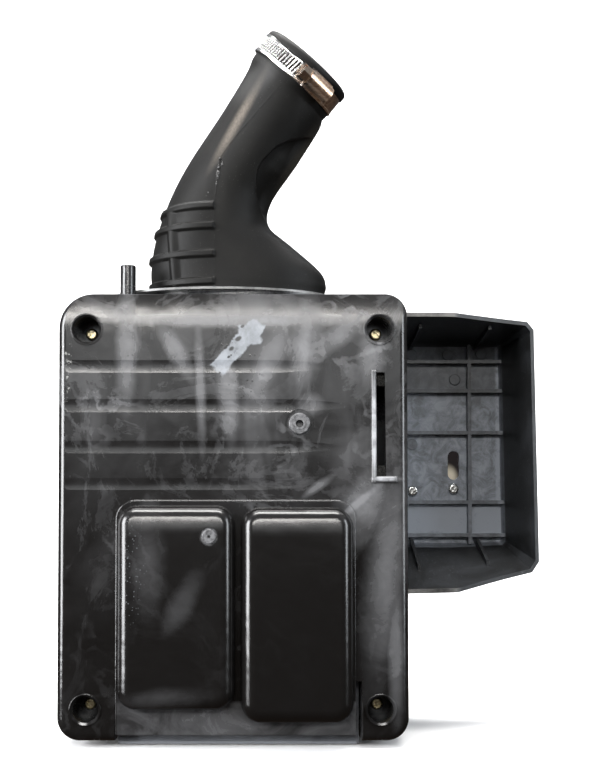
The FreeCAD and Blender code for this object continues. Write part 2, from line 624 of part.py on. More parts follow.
def make_clamp():
    a, e1, e2, rad, tan = clamp_frame()
    base = BAND_C - a * (BAND_W / 2)
    band = Part.makeCylinder(BAND_OUT, BAND_W, base, a).cut(
        Part.makeCylinder(BAND_IN, BAND_W + 2, base - a, a))
    # worm slots over the part of the band that shows its thread
    for i in range(30):
        ang = math.radians(78.0 + i * 4.3)
        r = e1 * math.cos(ang) + e2 * math.sin(ang)
        t = e1 * (-math.sin(ang)) + e2 * math.cos(ang)
        lean = (a + t * 0.12)
        lean.normalize()
        side = r.cross(lean)
        side.normalize()
        band = band.cut(oriented_box(BAND_C + r * BAND_OUT, side, lean, r,
                                     1.05, 7.6, 3.0))
    c = BAND_C + rad * WORM_OFF
    barrel = Part.makeCylinder(5.2, 17.0, c - tan * 8.5, tan)
    cheeks = oriented_box(c - rad * 2.0, tan, a, rad, 17.0, 10.4, 4.0)
    saddle = oriented_box(BAND_C + rad * (BAND_OUT + 0.62), tan, a, rad,
                          17.0, 12.6, 1.1)
    lug1 = oriented_box(BAND_C + rad * (BAND_OUT + 1.4) + a * 5.9, tan, a,
                        rad, 17.0, 0.9, 2.6)
    lug2 = oriented_box(BAND_C + rad * (BAND_OUT + 1.4) - a * 5.9, tan, a,
                        rad, 17.0, 0.9, 2.6)
    house = union(barrel, cheeks, saddle, lug1, lug2)
    house = house.cut(Part.makeCylinder(4.1, 40.0, c - tan * 20.0, tan))
    house = house.cut(Part.makeCylinder(BAND_OUT, 30.0,
                                        BAND_C - a * 15.0, a))
    screw = Part.makeCylinder(4.02, 16.6, c - tan * 8.3, tan)
    for i in range(9):
        p = c - tan * (7.5 - i * 1.75)
        ring = Part.makeCylinder(5.0, 0.8, p, tan).cut(
            Part.makeCylinder(3.1, 2.0, p - tan * 0.5, tan))
        screw = screw.cut(ring)
    collar = Part.makeCylinder(5.3, 1.3, c + tan * 8.8, tan)
    neck = Part.makeCylinder(3.6, 1.2, c + tan * 8.0, tan)
    hexc = c + tan * 10.0
    pts = []
    for i in range(6):
        g = math.radians(60 * i + 8)
        pts.append(hexc + (rad * math.cos(g) + a * math.sin(g)) * 4.9)
    hexa = Part.Face(Part.makePolygon(pts + [pts[0]])).extrude(tan * 6.4)
    slot = oriented_box(c + tan * 16.5, a * 0.8 + rad * 0.6,
                        a * -0.6 + rad * 0.8, tan, 12.0, 1.2, 3.2)
    hexa = hexa.cut(slot)
    screw = union(screw, neck, collar, hexa)
    return band, house, screw


# ------------------------------------------------------------- write all nodes
plate, cap_l, cap_r, slot_panel = split_cover(make_cover())
save("cover", plate)
save("cover_bulge_left", cap_l)
save("cover_bulge_right", cap_r)
save("cover_inlet_panel", slot_panel)
for key, (sx, sz) in SCREWS.items():
    save("cover_well_" + key, make_well(sx, sz))
save("rear_case", make_case())
save("battery_tray", make_tray())
save("outlet_collar", make_collar())
foot, bend, tube = make_boot()
foot = foot.cut(box(-90, 90, -100, LEDGE_BACK, 120, CASE_TOP))
save("intake_boot_foot", foot)
save("intake_boot_bend", bend)
save("intake_boot_tube", tube)

for key, (sx, sz) in SCREWS.items():
    save("cover_screw_" + key, pan_screw(sx, sz, WELL_FLOOR, 19.5, 4.0))
save("tray_screws", Part.makeCompound([
    pan_screw(sx, sz, TRAY_Y_FLOOR - 2.6, 9.6, 3.2) for sx, sz in
    TRAY_SCREWS]))

# gasket strip round the rim, stopping at each side of the notch
gasket = rprism(-101.2, 101.2, -86.5, PARTING, -131.0, 130.8,
                (18.2, 11.2, 11.2, 11.2))
gasket = gasket.cut(rprism(-97.3, 97.3, -87, -83, -127.1, 126.9,
                           (14.3, 7.3, 7.3, 7.3)))
gasket = gasket.cut(box(NOTCH_X0 - 3.2, NOTCH_X1 + 3.2, -90, -80, -140,
                        -100))
save("cover_gasket", gasket)

# foam frame behind the inlet slot
foam = box(80.6, 98.0, -108.0, -99.0, 16.0, 93.0).cut(
    box(85.0, 94.6, -110, -98, 31.0, 79.0))
save("inlet_foam", foam)

# panel element
fx0, fx1, fz0, fz1 = FILTER_X0, FILTER_X1, FILTER_Z0, FILTER_Z1
frame = rprism(fx0, fx1, -80.0, -64.0, fz0, fz1, 5.0)
frame = frame.cut(rprism(fx0 + 5, fx1 - 5, -81, -63, fz0 + 5, fz1 - 5, 3.0))
for fz in (-40.0, 7.0, 54.0):
    frame = frame.fuse(box(fx0 + 3, fx1 - 3, -80.0, -78.0, fz - 1.5,
                           fz + 1.5))
frame = frame.fuse(box(-1.5, 1.5, -80.0, -78.0, fz0 + 3, fz1 - 3))
save("filter_frame", frame)
media = rprism(fx0 + 5, fx1 - 5, -77.9, -65.6, fz0 + 5, fz1 - 5, 3.0)
save("filter_foam", media)
mesh = rprism(fx0 + 5, fx1 - 5, -65.5, -64.5, fz0 + 5, fz1 - 5, 3.0)
nx, nz = 9, 12
mw, mh = (fx1 - fx0 - 14) / nx, (fz1 - fz0 - 14) / nz
for i in range(nx):
    for j in range(nz):
        mesh = mesh.cut(box(fx0 + 7 + i * mw + 0.9, fx0 + 7 + (i + 1) * mw
                            - 0.9, -67, -63, fz0 + 7 + j * mh + 0.9,
                            fz0 + 7 + (j + 1) * mh - 0.9))
save("filter_mesh", mesh)
seal = rprism(fx0, fx1, -63.9, LEDGE_FRONT, fz0, fz1, 5.0).cut(
    rprism(-69.5, 69.5, -65, -60, -87.5, 101.5, 3.0))
save("filter_seal", seal)

band, house, worm = make_clamp()
save("clamp_band", band)
save("clamp_housing", house)
save("clamp_screw", worm)

pipe = cyl((PIPE_X, PIPE_Y, CASE_TOP + 5.0), (0, 0, 1), PIPE_R,
           PIPE_TOP - CASE_TOP - 5.0)
pipe = fillet_at(pipe, 0.7, lambda b: b.ZMin > PIPE_TOP - 0.01)
pipe = pipe.fuse(cyl((PIPE_X, PIPE_Y, CASE_TOP - 3.5), (0, 0, 1), STEM_R,
                     9.5))
pipe = pipe.cut(cyl((PIPE_X, PIPE_Y, CASE_TOP - 5), (0, 0, 1), PIPE_BORE,
                    50))
save("breather_pipe", pipe)

ins = []
for z in (-BOLT_Z, BOLT_Z):
    s = ycyl(0, z, INSERT_R, -INSERT_LEN, 0.0)
    ins.append(s.cut(ycyl(0, z, INSERT_BORE_R, -INSERT_LEN - 1, 1.0)))
save("mount_inserts", Part.makeCompound(ins))
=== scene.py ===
import math

import bpy
import bmesh
import numpy as np
from mathutils import Matrix, Vector, noise


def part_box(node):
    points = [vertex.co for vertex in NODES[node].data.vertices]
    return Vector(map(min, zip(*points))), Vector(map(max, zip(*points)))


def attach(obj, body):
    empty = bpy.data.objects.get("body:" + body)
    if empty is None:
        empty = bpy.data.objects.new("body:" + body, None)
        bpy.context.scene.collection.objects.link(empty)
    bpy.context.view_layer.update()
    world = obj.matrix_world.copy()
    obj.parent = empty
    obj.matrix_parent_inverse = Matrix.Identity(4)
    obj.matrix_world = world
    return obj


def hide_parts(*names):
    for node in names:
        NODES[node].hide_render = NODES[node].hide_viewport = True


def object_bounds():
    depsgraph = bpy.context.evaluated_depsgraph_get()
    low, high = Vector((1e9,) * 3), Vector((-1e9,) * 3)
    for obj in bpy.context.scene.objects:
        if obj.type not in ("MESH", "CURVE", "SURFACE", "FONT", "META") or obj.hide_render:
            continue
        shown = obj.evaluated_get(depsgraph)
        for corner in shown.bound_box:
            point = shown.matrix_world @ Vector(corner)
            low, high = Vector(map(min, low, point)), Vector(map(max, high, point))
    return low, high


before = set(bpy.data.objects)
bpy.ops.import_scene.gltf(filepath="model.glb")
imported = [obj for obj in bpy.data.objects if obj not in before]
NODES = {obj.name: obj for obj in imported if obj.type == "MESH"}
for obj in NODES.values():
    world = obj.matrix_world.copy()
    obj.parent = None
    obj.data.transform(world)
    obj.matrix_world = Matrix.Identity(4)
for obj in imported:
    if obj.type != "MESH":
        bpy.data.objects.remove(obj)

CAD_LO, CAD_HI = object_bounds()
MM = 0.001
SC = bpy.context.scene
RNG = np.random.default_rng(7)


# ============================================================ mesh helpers
def make_obj(name, verts, faces, mat=None, body=None, smooth=True, slot=None):
    me = bpy.data.meshes.new(name)
    me.from_pydata([tuple(map(float, v)) for v in verts], [], faces)
    me.update()
    ob = bpy.data.objects.new(name, me)
    SC.collection.objects.link(ob)
    if smooth:
        me.polygons.foreach_set("use_smooth", [True] * len(me.polygons))
    if mat:
        me.materials.append(mat)
    if body:
        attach(ob, body)
    return ob


def fix_normals(ob):
    bm = bmesh.new()
    bm.from_mesh(ob.data)
    bmesh.ops.recalc_face_normals(bm, faces=bm.faces)
    bm.to_mesh(ob.data)
    bm.free()
    ob.data.update()


def grid_faces(rows, cols, close_cols=True, close_rows=False):
    f = []
    for i in range(rows if close_rows else rows - 1):
        i2 = (i + 1) % rows
        for j in range(cols if close_cols else cols - 1):
            j2 = (j + 1) % cols
            f.append((i * cols + j, i * cols + j2, i2 * cols + j2,
                      i2 * cols + j))
    return f


def sweep(name, path, profile, closed=True, up=None, **kw):
    """profile: list of (across, along-up) points; path: points; up: fixed."""
    n = len(path)
    path = [Vector(p) for p in path]
    verts = []
    for i, p in enumerate(path):
        a = path[i - 1] if (i or closed) else p
        b = path[(i + 1) % n] if (i < n - 1 or closed) else p
        t = (b - a).normalized()
        u = Vector(up)
        side = t.cross(u).normalized()
        u2 = side.cross(t).normalized()
        for x, y in profile:
            verts.append(p + side * x + u2 * y)
    m = len(profile)
    faces = grid_faces(n, m, True, closed)
    if not closed:
        faces.append(tuple(range(m))[::-1])
        faces.append(tuple((n - 1) * m + k for k in range(m)))
    ob = make_obj(name, verts, faces, **kw)
    fix_normals(ob)
    return ob


def rounded_rect_path(x0, x1, z0, z1, radii, y, seg=10, step=None):
    """Clockwise from the top left; radii TL, TR, BR, BL. Metres."""
    tl, tr, br, bl = radii
    pts = []
    for cx, cz, r, a0 in ((x0 + tl, z1 - tl, tl, 180), (x1 - tr, z1 - tr, tr, 90),
                          (x1 - br, z0 + br, br, 0), (x0 + bl, z0 + bl, bl, -90)):
        for k in range(seg + 1):
            a = math.radians(a0 - 90 * k / seg)
            pts.append(Vector((cx + r * math.cos(a), y, cz + r * math.sin(a))))
    if step:
        out = []
        for i, p in enumerate(pts):
            q = pts[(i + 1) % len(pts)]
            d = (q - p).length
            k = max(1, int(round(d / step)))
            out += [p.lerp(q, j / k) for j in range(k)]
        pts = out
    return pts


def bevel(ob, width, segments=2, angle=35):
    m = ob.modifiers.new("bevel", "BEVEL")
    m.width = width
    m.segments = segments
    m.limit_method = "ANGLE"
    m.angle_limit = math.radians(angle)
    m.harden_normals = False
    return m


def split_smooth(ob, angle=30):
    """Smooth shading that keeps edges sharper than the angle."""
    me = ob.data
    me.polygons.foreach_set("use_smooth", [True] * len(me.polygons))
    bm = bmesh.new()
    bm.from_mesh(me)
    for e in bm.edges:
        e.smooth = not (len(e.link_faces) == 2
                        and e.calc_face_angle(0) > math.radians(angle))
    bm.to_mesh(me)
    bm.free()


# ======================================================== material helpers
class Tree:
    def __init__(self, name):
        self.mat = bpy.data.materials.new(name)
        self.mat.use_nodes = True
        self.nt = self.mat.node_tree
        self.nt.nodes.clear()
        self.out = self.nt.nodes.new("ShaderNodeOutputMaterial")
        self.bsdf = self.nt.nodes.new("ShaderNodeBsdfPrincipled")
        self.nt.links.new(self.bsdf.outputs[0], self.out.inputs[0])
        self.co = self.nt.nodes.new("ShaderNodeTexCoord").outputs["Object"]

    def link(self, a, b):
        self.nt.links.new(a, b)

    def val(self, sock, v):
        if hasattr(v, "links") or isinstance(v, bpy.types.NodeSocket):
            self.link(v, sock)
        else:
            sock.default_value = v

    def mapping(self, scale=(1, 1, 1), rot=(0, 0, 0), loc=(0, 0, 0), co=None):
        n = self.nt.nodes.new("ShaderNodeMapping")
        n.inputs["Scale"].default_value = scale
        n.inputs["Rotation"].default_value = rot
        n.inputs["Location"].default_value = loc
        self.link(co or self.co, n.inputs[0])
        return n.outputs[0]

    def noise(self, scale, detail=4, rough=0.55, co=None, dist=0.0):
        n = self.nt.nodes.new("ShaderNodeTexNoise")
        n.inputs["Scale"].default_value = scale
        n.inputs["Detail"].default_value = detail
        n.inputs["Roughness"].default_value = rough
        n.inputs["Distortion"].default_value = dist
        self.link(co or self.co, n.inputs["Vector"])
        return n.outputs["Fac"]

    def voronoi(self, scale, co=None, feature="F1", rand=1.0):
        n = self.nt.nodes.new("ShaderNodeTexVoronoi")
        n.feature = feature
        n.inputs["Scale"].default_value = scale
        n.inputs["Randomness"].default_value = rand
        self.link(co or self.co, n.inputs["Vector"])
        return n.outputs["Distance"]

    def wave(self, scale, dist=2.0, detail=2.0, dscale=1.0, co=None,
             direction="X", kind="BANDS"):
        n = self.nt.nodes.new("ShaderNodeTexWave")
        n.wave_type = kind
        if kind == "BANDS":
            n.bands_direction = direction
        n.inputs["Scale"].default_value = scale
        n.inputs["Distortion"].default_value = dist
        n.inputs["Detail"].default_value = detail
        n.inputs["Detail Scale"].default_value = dscale
        self.link(co or self.co, n.inputs["Vector"])
        return n.outputs["Fac"]

    def ramp(self, fac, stops, interp="LINEAR"):
        n = self.nt.nodes.new("ShaderNodeValToRGB")
        n.color_ramp.interpolation = interp
        els = n.color_ramp.elements
        while len(els) < len(stops):
            els.new(0.5)
        for e, (p, c) in zip(els, stops):
            e.position = p
            e.color = (c, c, c, 1) if not hasattr(c, "__len__") else (*c, 1)
        self.link(fac, n.inputs[0])
        return n.outputs[0]

    def maprange(self, v, a, b, c, d, clamp=True, kind="LINEAR"):
        n = self.nt.nodes.new("ShaderNodeMapRange")
        n.clamp = clamp
        n.interpolation_type = kind
        self.link(v, n.inputs[0])
        for k, x in zip((1, 2, 3, 4), (a, b, c, d)):
            n.inputs[k].default_value = x
        return n.outputs[0]

    def math(self, op, a, b=None, c=None):
        n = self.nt.nodes.new("ShaderNodeMath")
        n.operation = op
        for k, v in enumerate((a, b, c)):
            if v is not None:
                self.val(n.inputs[k], v)
        return n.outputs[0]

    def mix(self, fac, a, b, kind="RGBA", blend="MIX"):
        n = self.nt.nodes.new("ShaderNodeMix")
        n.data_type = kind
        if kind == "RGBA":
            n.blend_type = blend
            ia, ib, o = n.inputs[6], n.inputs[7], n.outputs[2]
        else:
            ia, ib, o = n.inputs[2], n.inputs[3], n.outputs[0]
        self.val(n.inputs[0], fac)
        for s, v in ((ia, a), (ib, b)):
            if isinstance(v, bpy.types.NodeSocket):
                self.link(v, s)
            elif kind == "RGBA":
                s.default_value = (*v, 1) if len(v) == 3 else v
            else:
                s.default_value = v
        return o

    def sep(self, co=None):
        n = self.nt.nodes.new("ShaderNodeSeparateXYZ")
        self.link(co or self.co, n.inputs[0])
        return n.outputs

    def bump(self, height, strength, distance, normal=None):
        n = self.nt.nodes.new("ShaderNodeBump")
        n.inputs["Strength"].default_value = strength
        n.inputs["Distance"].default_value = distance
        self.link(height, n.inputs["Height"])
        if normal is not None:
            self.link(normal, n.inputs["Normal"])
        return n.outputs[0]

    def spot(self, cx, cz, rx, rz, rot=0.0, wob=0.25, wscale=60.0, soft=0.35,
             face=None):
        """A soft, irregular ellipse on a face of constant Y, 1 inside."""
        m = self.mapping(scale=(1 / rx, 0.0, 1 / rz), co=self.shift(cx, cz, rot))
        ln = self.nt.nodes.new("ShaderNodeVectorMath")
        ln.operation = "LENGTH"
        self.link(m, ln.inputs[0])
        w = self.noise(wscale, 3, 0.6)
        d = self.math("ADD", ln.outputs["Value"],
                      self.math("MULTIPLY", self.math("SUBTRACT", w, 0.5),
                                wob * 4))
        return self.maprange(d, 1.0 - soft, 1.0 + soft, 1.0, 0.0, True,
                             "SMOOTHSTEP")

    def shift(self, cx, cz, rot=0.0):
        a = self.nt.nodes.new("ShaderNodeVectorMath")
        a.operation = "SUBTRACT"
        a.inputs[1].default_value = (cx, 0, cz)
        self.link(self.co, a.inputs[0])
        if not rot:
            return a.outputs[0]
        return self.mapping(rot=(0, math.radians(rot), 0), co=a.outputs[0])

    def set(self, **kw):
        names = {"color": "Base Color", "rough": "Roughness",
                 "metal": "Metallic", "normal": "Normal",
                 "spec": "Specular IOR Level", "coat": "Coat Weight",
                 "coat_rough": "Coat Roughness", "sheen": "Sheen Weight",
                 "sheen_rough": "Sheen Roughness", "ior": "IOR",
                 "aniso": "Anisotropic"}
        for k, v in kw.items():
            s = self.bsdf.inputs[names[k]]
            if isinstance(v, bpy.types.NodeSocket):
                self.link(v, s)
            elif k == "color":
                s.default_value = (*v, 1)
            else:
                s.default_value = v
        return self.mat


def plastic(name, dark, light, rough=(0.3, 0.48), grain=0.12, scuffs=1.0,
            spec=0.5, haze=0.5):
    """Moulded black plastic: haze, fine moulding texture, scuffs."""
    t = Tree(name)
    big = t.noise(9, 4, 0.6, dist=0.6)
    mid = t.noise(38, 5, 0.62, dist=0.8)
    fine = t.noise(900, 2, 0.5)
    h = t.mix(0.45, big, mid, "FLOAT")
    hz = t.ramp(h, [(0.38, 0.0), (0.66, 1.0)])
    swirl = t.wave(16, 14, 4, 2.2, co=t.mapping(rot=(0.3, 0.5, 0.2)))
    swirl = t.ramp(swirl, [(0.80, 0.0), (0.97, 1.0)])
    sw = t.math("MULTIPLY", swirl, t.ramp(mid, [(0.45, 0.0), (0.62, 1.0)]))
    scr = t.noise(120, 6, 0.7, co=t.mapping(scale=(1.0, 1.0, 0.06),
                                            rot=(0, 0.5, 0)))
    scr = t.ramp(scr, [(0.66, 0.0), (0.72, 1.0)])
    scr = t.math("MULTIPLY", scr, t.ramp(t.noise(14, 2), [(0.5, 0.0),
                                                          (0.62, 1.0)]))
    dirt = t.math("MAXIMUM", t.math("MULTIPLY", hz, haze),
                  t.math("MULTIPLY", t.math("MAXIMUM", t.math("MULTIPLY", sw, 0.55), scr),
                         0.5 * scuffs))
    col = t.mix(dirt, dark, light)
    rg = t.maprange(t.math("ADD", t.math("MULTIPLY", hz, 0.6),
                           t.math("MULTIPLY", fine, 0.25)), 0, 1, rough[0],
                    rough[1])
    b = t.bump(fine, grain, 0.00025)
    b = t.bump(mid, 0.10, 0.0012, b)
    b = t.bump(scr, -0.12 * scuffs, 0.0003, b)
    t.set(color=col, rough=rg, normal=b, spec=spec)
    return t.mat


# ================================================================ camera
CAM_X, CAM_Z, CAM_D = 0.0102, 0.0114, 0.640
FACE_Y = -0.112
cam_data = bpy.data.cameras.new("cam")
cam = bpy.data.objects.new("cam", cam_data)
SC.collection.objects.link(cam)
cam.location = (CAM_X, FACE_Y - CAM_D, CAM_Z)
TILT = math.radians(1.8)
cam.rotation_euler = (math.pi / 2 + TILT, 0, 0)
cam_data.sensor_fit = "AUTO"
cam_data.sensor_width = 36.0
F_PX = 1067.0
cam_data.lens = F_PX / 775 * 36.0
cam_data.shift_x = (300 - 250) / 775
cam_data.shift_y = (498 - 387.5) / 775 - F_PX * math.tan(TILT) / 775
cam_data.clip_start = 0.01
cam_data.clip_end = 30
SC.camera = cam

# ====================================================== shared dimensions
MOUTH_AXIS = Vector((0.638, -0.210, 0.741)).normalized()
CLAMP_C = Vector((0.0403, -0.068, 0.283))


def frame_of(axis):
    a = Vector(axis).normalized()
    e2 = Vector((0, -1, 0)) - a * (-a.y)
    e2.normalize()
    e1 = a.cross(e2)
    if e1.x < 0:
        e1 = -e1
    return a, e1, e2


def px_of(p):
    """Where a point (metres) falls in the working view, in its pixels."""
    x, y, z = p[0] / MM, p[1] / MM, p[2] / MM
    s = 0.6 * (640 + y + 112) / 640
    return 250 + (x - 10.2) / s, 498 - (z - 11.4) / s


# =============================================================== materials
def m_cover():
    t = Tree("cover_plastic")
    big = t.noise(7.5, 4, 0.6, dist=0.7)
    mid = t.noise(30, 6, 0.66, dist=1.1)
    fine = t.noise(1100, 2, 0.5)
    x, y, z = t.sep()
    # handling haze: wide soft patches; the up mask below makes this layer lighter on the
    # upper half, a painted reflection of the lamps above
    up = t.maprange(z, -0.10, 0.06, 0.16, 1.0)
    h1 = t.ramp(t.mix(0.35, big, mid, "FLOAT"), [(0.41, 0.0), (0.61, 1.0)])
    # upright streaks: partly cloth wipes, partly painted reflections of light stripes
    # above
    wipes_and_reflection = t.noise(34, 3, 0.55, co=t.mapping(scale=(1, 1, 0.20)), dist=0.5)
    wipes_and_reflection = t.ramp(wipes_and_reflection, [(0.47, 0.0), (0.68, 1.0)])
    wipes_and_reflection = t.math("MULTIPLY", wipes_and_reflection, t.ramp(t.noise(11, 3, 0.6),
                                           [(0.46, 0.0), (0.64, 1.0)]))
    # dried films with crisp, ragged edges
    film = t.ramp(t.noise(17, 7, 0.72, dist=2.2), [(0.53, 0.0), (0.56, 1.0)])
    film = t.math("MULTIPLY", film, t.ramp(mid, [(0.35, 0.3), (0.6, 1.0)]))
    # curved polishing swirls
    sw = t.wave(13, 18, 5, 2.1, co=t.mapping(rot=(0.1, 0.9, 0.2)))
    sw = t.ramp(sw, [(0.78, 0.0), (0.97, 1.0)])
    sw = t.math("MULTIPLY", sw, t.ramp(t.noise(19, 3, 0.6),
                                       [(0.50, 0.0), (0.64, 1.0)]))
    # short scratches
    scr = t.noise(170, 6, 0.75, co=t.mapping(scale=(1.0, 1.0, 0.05),
                                             rot=(0, 0.6, 0)))
    scr = t.ramp(scr, [(0.67, 0.0), (0.71, 1.0)])
    scr = t.math("MULTIPLY", scr, t.ramp(t.noise(17, 2), [(0.48, 0.0),
                                                          (0.58, 1.0)]))

    def face_patch(px, py, rx, ry, rot=0.0, wob=0.22, ws=45, soft=0.75):
        return t.spot((px - 250) * 0.0006 + 0.0102,
                      (498 - py) * 0.0006 + 0.0114, rx * 0.0006, ry * 0.0006,
                      rot, wob, ws, soft)

    def many(first, *rest):
        out = first
        for r in rest:
            out = t.math("MAXIMUM", out, r)
        return out

    # placed pale patches: partly real smears, partly painted reflections of the lamps; the
    # widest one is a painted highlight band along the crowned top, and the two narrow ones
    # are painted highlights on the inlet slot's lip
    bright = many(face_patch(126, 350, 8, 46), face_patch(200, 385, 4, 52, 2),
                  face_patch(176, 352, 7, 26, 30), face_patch(228, 395, 8, 34, 6),
                  face_patch(266, 366, 9, 30, -26), face_patch(306, 344, 12, 34, -8),
                  face_patch(338, 336, 24, 8, 35), face_patch(311, 404, 10, 9),
                  face_patch(318, 486, 15, 3.5, 35), face_patch(372, 356, 10, 24),
                  face_patch(236, 320, 104, 5, 0, 0.2, 30),
                  face_patch(374, 426, 2.6, 50, 0, 0.1, 60, 0.5),
                  face_patch(388, 479, 14, 3, 0, 0.1, 60, 0.5),
                  face_patch(352, 508, 30, 3, 40))
    soft_b = many(face_patch(385, 575, 15, 78, -6, 0.15, 30, 0.9),
                  face_patch(365, 510, 16, 32, -20),
                  face_patch(395, 640, 7, 60))
    low = many(face_patch(184, 600, 9, 26, -30, 0.3, 50, 0.8),
               face_patch(166, 696, 34, 9, 6, 0.25, 50, 0.8),
               face_patch(150, 560, 12, 40, 0, 0.3, 40, 0.9))
    # the pale stain with dark specks on the upper middle of the face
    wob = t.math("MULTIPLY", t.math("SUBTRACT", t.noise(75, 4, 0.6), 0.5), 0.009)
    q = t.sep(t.mapping(rot=(0, math.radians(49), 0),
                        co=t.shift(0.0028, 0.1030)))
    across = t.math("ABSOLUTE", t.math("ADD", q[2], wob))
    along = t.math("ABSOLUTE", t.math("ADD", q[0], wob))
    st = t.math("MULTIPLY", t.maprange(across, 0.0046, 0.0056, 1.0, 0.0),
                t.maprange(along, 0.0190, 0.0206, 1.0, 0.0))
    top = t.math("MULTIPLY",
                 t.maprange(t.math("ABSOLUTE", t.math("SUBTRACT", t.math(
                     "ADD", x, wob), 0.0105)), 0.0062, 0.0074, 1.0, 0.0),
                 t.maprange(t.math("ABSOLUTE", t.math("SUBTRACT", t.math(
                     "ADD", z, wob), 0.1105)), 0.0052, 0.0064, 1.0, 0.0))
    st = t.math("MAXIMUM", st, top)
    st = t.math("MULTIPLY", st, t.ramp(t.noise(110, 5, 0.7),
                                       [(0.30, 0.45), (0.6, 1.0)]))
    drops = t.voronoi(330)
    drops = t.ramp(drops, [(0.16, 1.0), (0.24, 0.0)])
    drops = t.math("MULTIPLY", drops, t.ramp(t.noise(45, 3), [(0.5, 0.0),
                                                              (0.6, 1.0)]))
    near = t.math("MAXIMUM", t.spot(-0.068, 0.104, 0.022, 0.014, 0, 0.3, 40),
                  t.spot(0.002, 0.092, 0.016, 0.022, 0, 0.3, 40))
    drops = t.math("MULTIPLY", drops, near)
    # dust that stays in the lower corner by the left bulge
    dust = t.voronoi(520)
    dust = t.math("MULTIPLY", t.ramp(dust, [(0.13, 1.0), (0.2, 0.0)]),
                  t.spot(-0.061, -0.030, 0.008, 0.030, 0, 0.4, 60))
    a = t.math("MULTIPLY", h1, 0.07)
    a = t.math("ADD", a, t.math("MULTIPLY", wipes_and_reflection, 0.30))
    a = t.math("ADD", a, t.math("MULTIPLY", film, 0.15))
    a = t.math("ADD", a, t.math("MULTIPLY", sw, 0.30))
    # painted reflection: the haze, wipes, films and swirls are made lighter towards the
    # top
    a = t.math("MULTIPLY", a, up)
    grain_b = t.ramp(mid, [(0.30, 0.45), (0.62, 1.0)])
    a = t.math("ADD", a, t.math("MULTIPLY", t.math("MULTIPLY", bright, 0.60),
                                grain_b))
    a = t.math("ADD", a, t.math("MULTIPLY", t.math("MULTIPLY", soft_b, 0.66),
                                grain_b))
    a = t.math("ADD", a, t.math("MULTIPLY", t.math("MULTIPLY", low, 0.60),
                                grain_b))
    a = t.math("MAXIMUM", a, t.math("MULTIPLY", scr, 0.45))
    # the bulges carry less of all the above than the face, the right one least: fewer
    # marks, and painted shade that keeps them darker
    bulge_fade = t.maprange(y, -0.1155, -0.1132, 0.30, 1.0)
    a = t.math("MULTIPLY", a, bulge_fade)
    a = t.math("MULTIPLY", a, t.maprange(
        t.math("MULTIPLY", t.maprange(x, 0.002, 0.006, 0.0, 1.0),
               t.maprange(y, -0.1155, -0.1132, 1.0, 0.0)), 0, 1, 1.0, 0.25))
    # painted highlights on the faces of the two small moulded bosses
    boss = t.math("MAXIMUM", t.spot(0.0399, 0.0560, 0.0066, 0.0066, 0, 0.05,
                                    60, 0.2),
                  t.spot(-0.0139, -0.0112, 0.0050, 0.0050, 0, 0.05, 60, 0.2))
    boss = t.math("MULTIPLY", boss, t.ramp(t.noise(420, 4, 0.65),
                                           [(0.36, 0.35), (0.60, 1.0)]))
    a = t.math("MAXIMUM", a, t.math("MULTIPLY", boss, 0.95))
    # pale flecks where the left edge has been knocked
    chips = t.math("MULTIPLY",
                   t.ramp(t.noise(300, 5, 0.7), [(0.60, 0.0), (0.64, 1.0)]),
                   t.spot(-0.1005, 0.094, 0.0034, 0.024, 0, 0.3, 60))
    # dusty skirt below the two bulges, also made lighter as a painted reflection of the
    # light it catches from in front
    skirt = t.math("MULTIPLY", t.maprange(z, -0.1110, -0.1090, 1.0, 0.0),
                   t.maprange(y, -0.1150, -0.1140, 0.0, 1.0))
    skirt = t.math("MULTIPLY", skirt, t.maprange(
        t.math("ABSOLUTE", t.math("ADD", x, -0.0039)),
        0.0725, 0.0740, 1.0, 0.0))
    a = t.math("MAXIMUM", a, t.math("MULTIPLY", skirt, t.ramp(
        t.noise(38, 5, 0.65, dist=0.8), [(0.34, 0.10), (0.62, 0.50)])))
    col = t.mix(a, (0.0046, 0.0042, 0.0040), (0.160, 0.161, 0.167))
    # painted highlight along the lip of the inlet slot
    lipm = many(face_patch(374.2, 430, 1.9, 48, 0, 0.06, 80, 0.5),
                face_patch(386, 478.8, 13, 2.0, 0, 0.06, 80, 0.5))
    lipm = t.math("MULTIPLY", lipm, t.maprange(y, -0.1136, -0.1128, 1.0, 0.25))
    lipm = t.math("MULTIPLY", lipm, t.ramp(t.noise(95, 4, 0.65),
                                           [(0.34, 0.25), (0.60, 1.0)]))
    col = t.mix(t.math("MULTIPLY", lipm, 0.9), col, (0.46, 0.47, 0.49))
    col = t.mix(t.math("MULTIPLY", chips, 0.85), col, (0.30, 0.30, 0.29))
    col = t.mix(t.math("MULTIPLY", st, 0.88), col, (0.27, 0.29, 0.315))
    pit = many(*[t.spot((qx - 250) * 0.0006 + 0.0102,
                        (498 - qy) * 0.0006 + 0.0114, qr * 0.0006,
                        qr * 0.00042, 35, 0.35, 160, 0.35)
                 for qx, qy, qr in ((238.6, 338.0, 3.4), (231.6, 348.0, 3.0),
                                    (242.4, 325.6, 1.9), (225.2, 347.2, 1.6),
                                    (228.6, 356.4, 1.3), (219.6, 372.6, 1.4))])
    col = t.mix(t.math("MULTIPLY", pit, 0.95), col, (0.006, 0.006, 0.006))
    col = t.mix(t.math("MULTIPLY", drops, 0.85), col, (0.005, 0.005, 0.005))
    col = t.mix(t.math("MULTIPLY", dust, 0.6), col, (0.16, 0.17, 0.18))
    r = t.math("ADD", t.math("MULTIPLY", a, 0.40), t.math("MULTIPLY", st, 0.2))
    r = t.math("ADD", r, t.math("MULTIPLY", fine, 0.05))
    rg = t.maprange(r, 0, 0.5, 0.17, 0.44)
    rg = t.math("ADD", rg, t.maprange(y, -0.1155, -0.1132, 0.02, 0.0))
    b = t.bump(fine, 0.022, 0.0002)
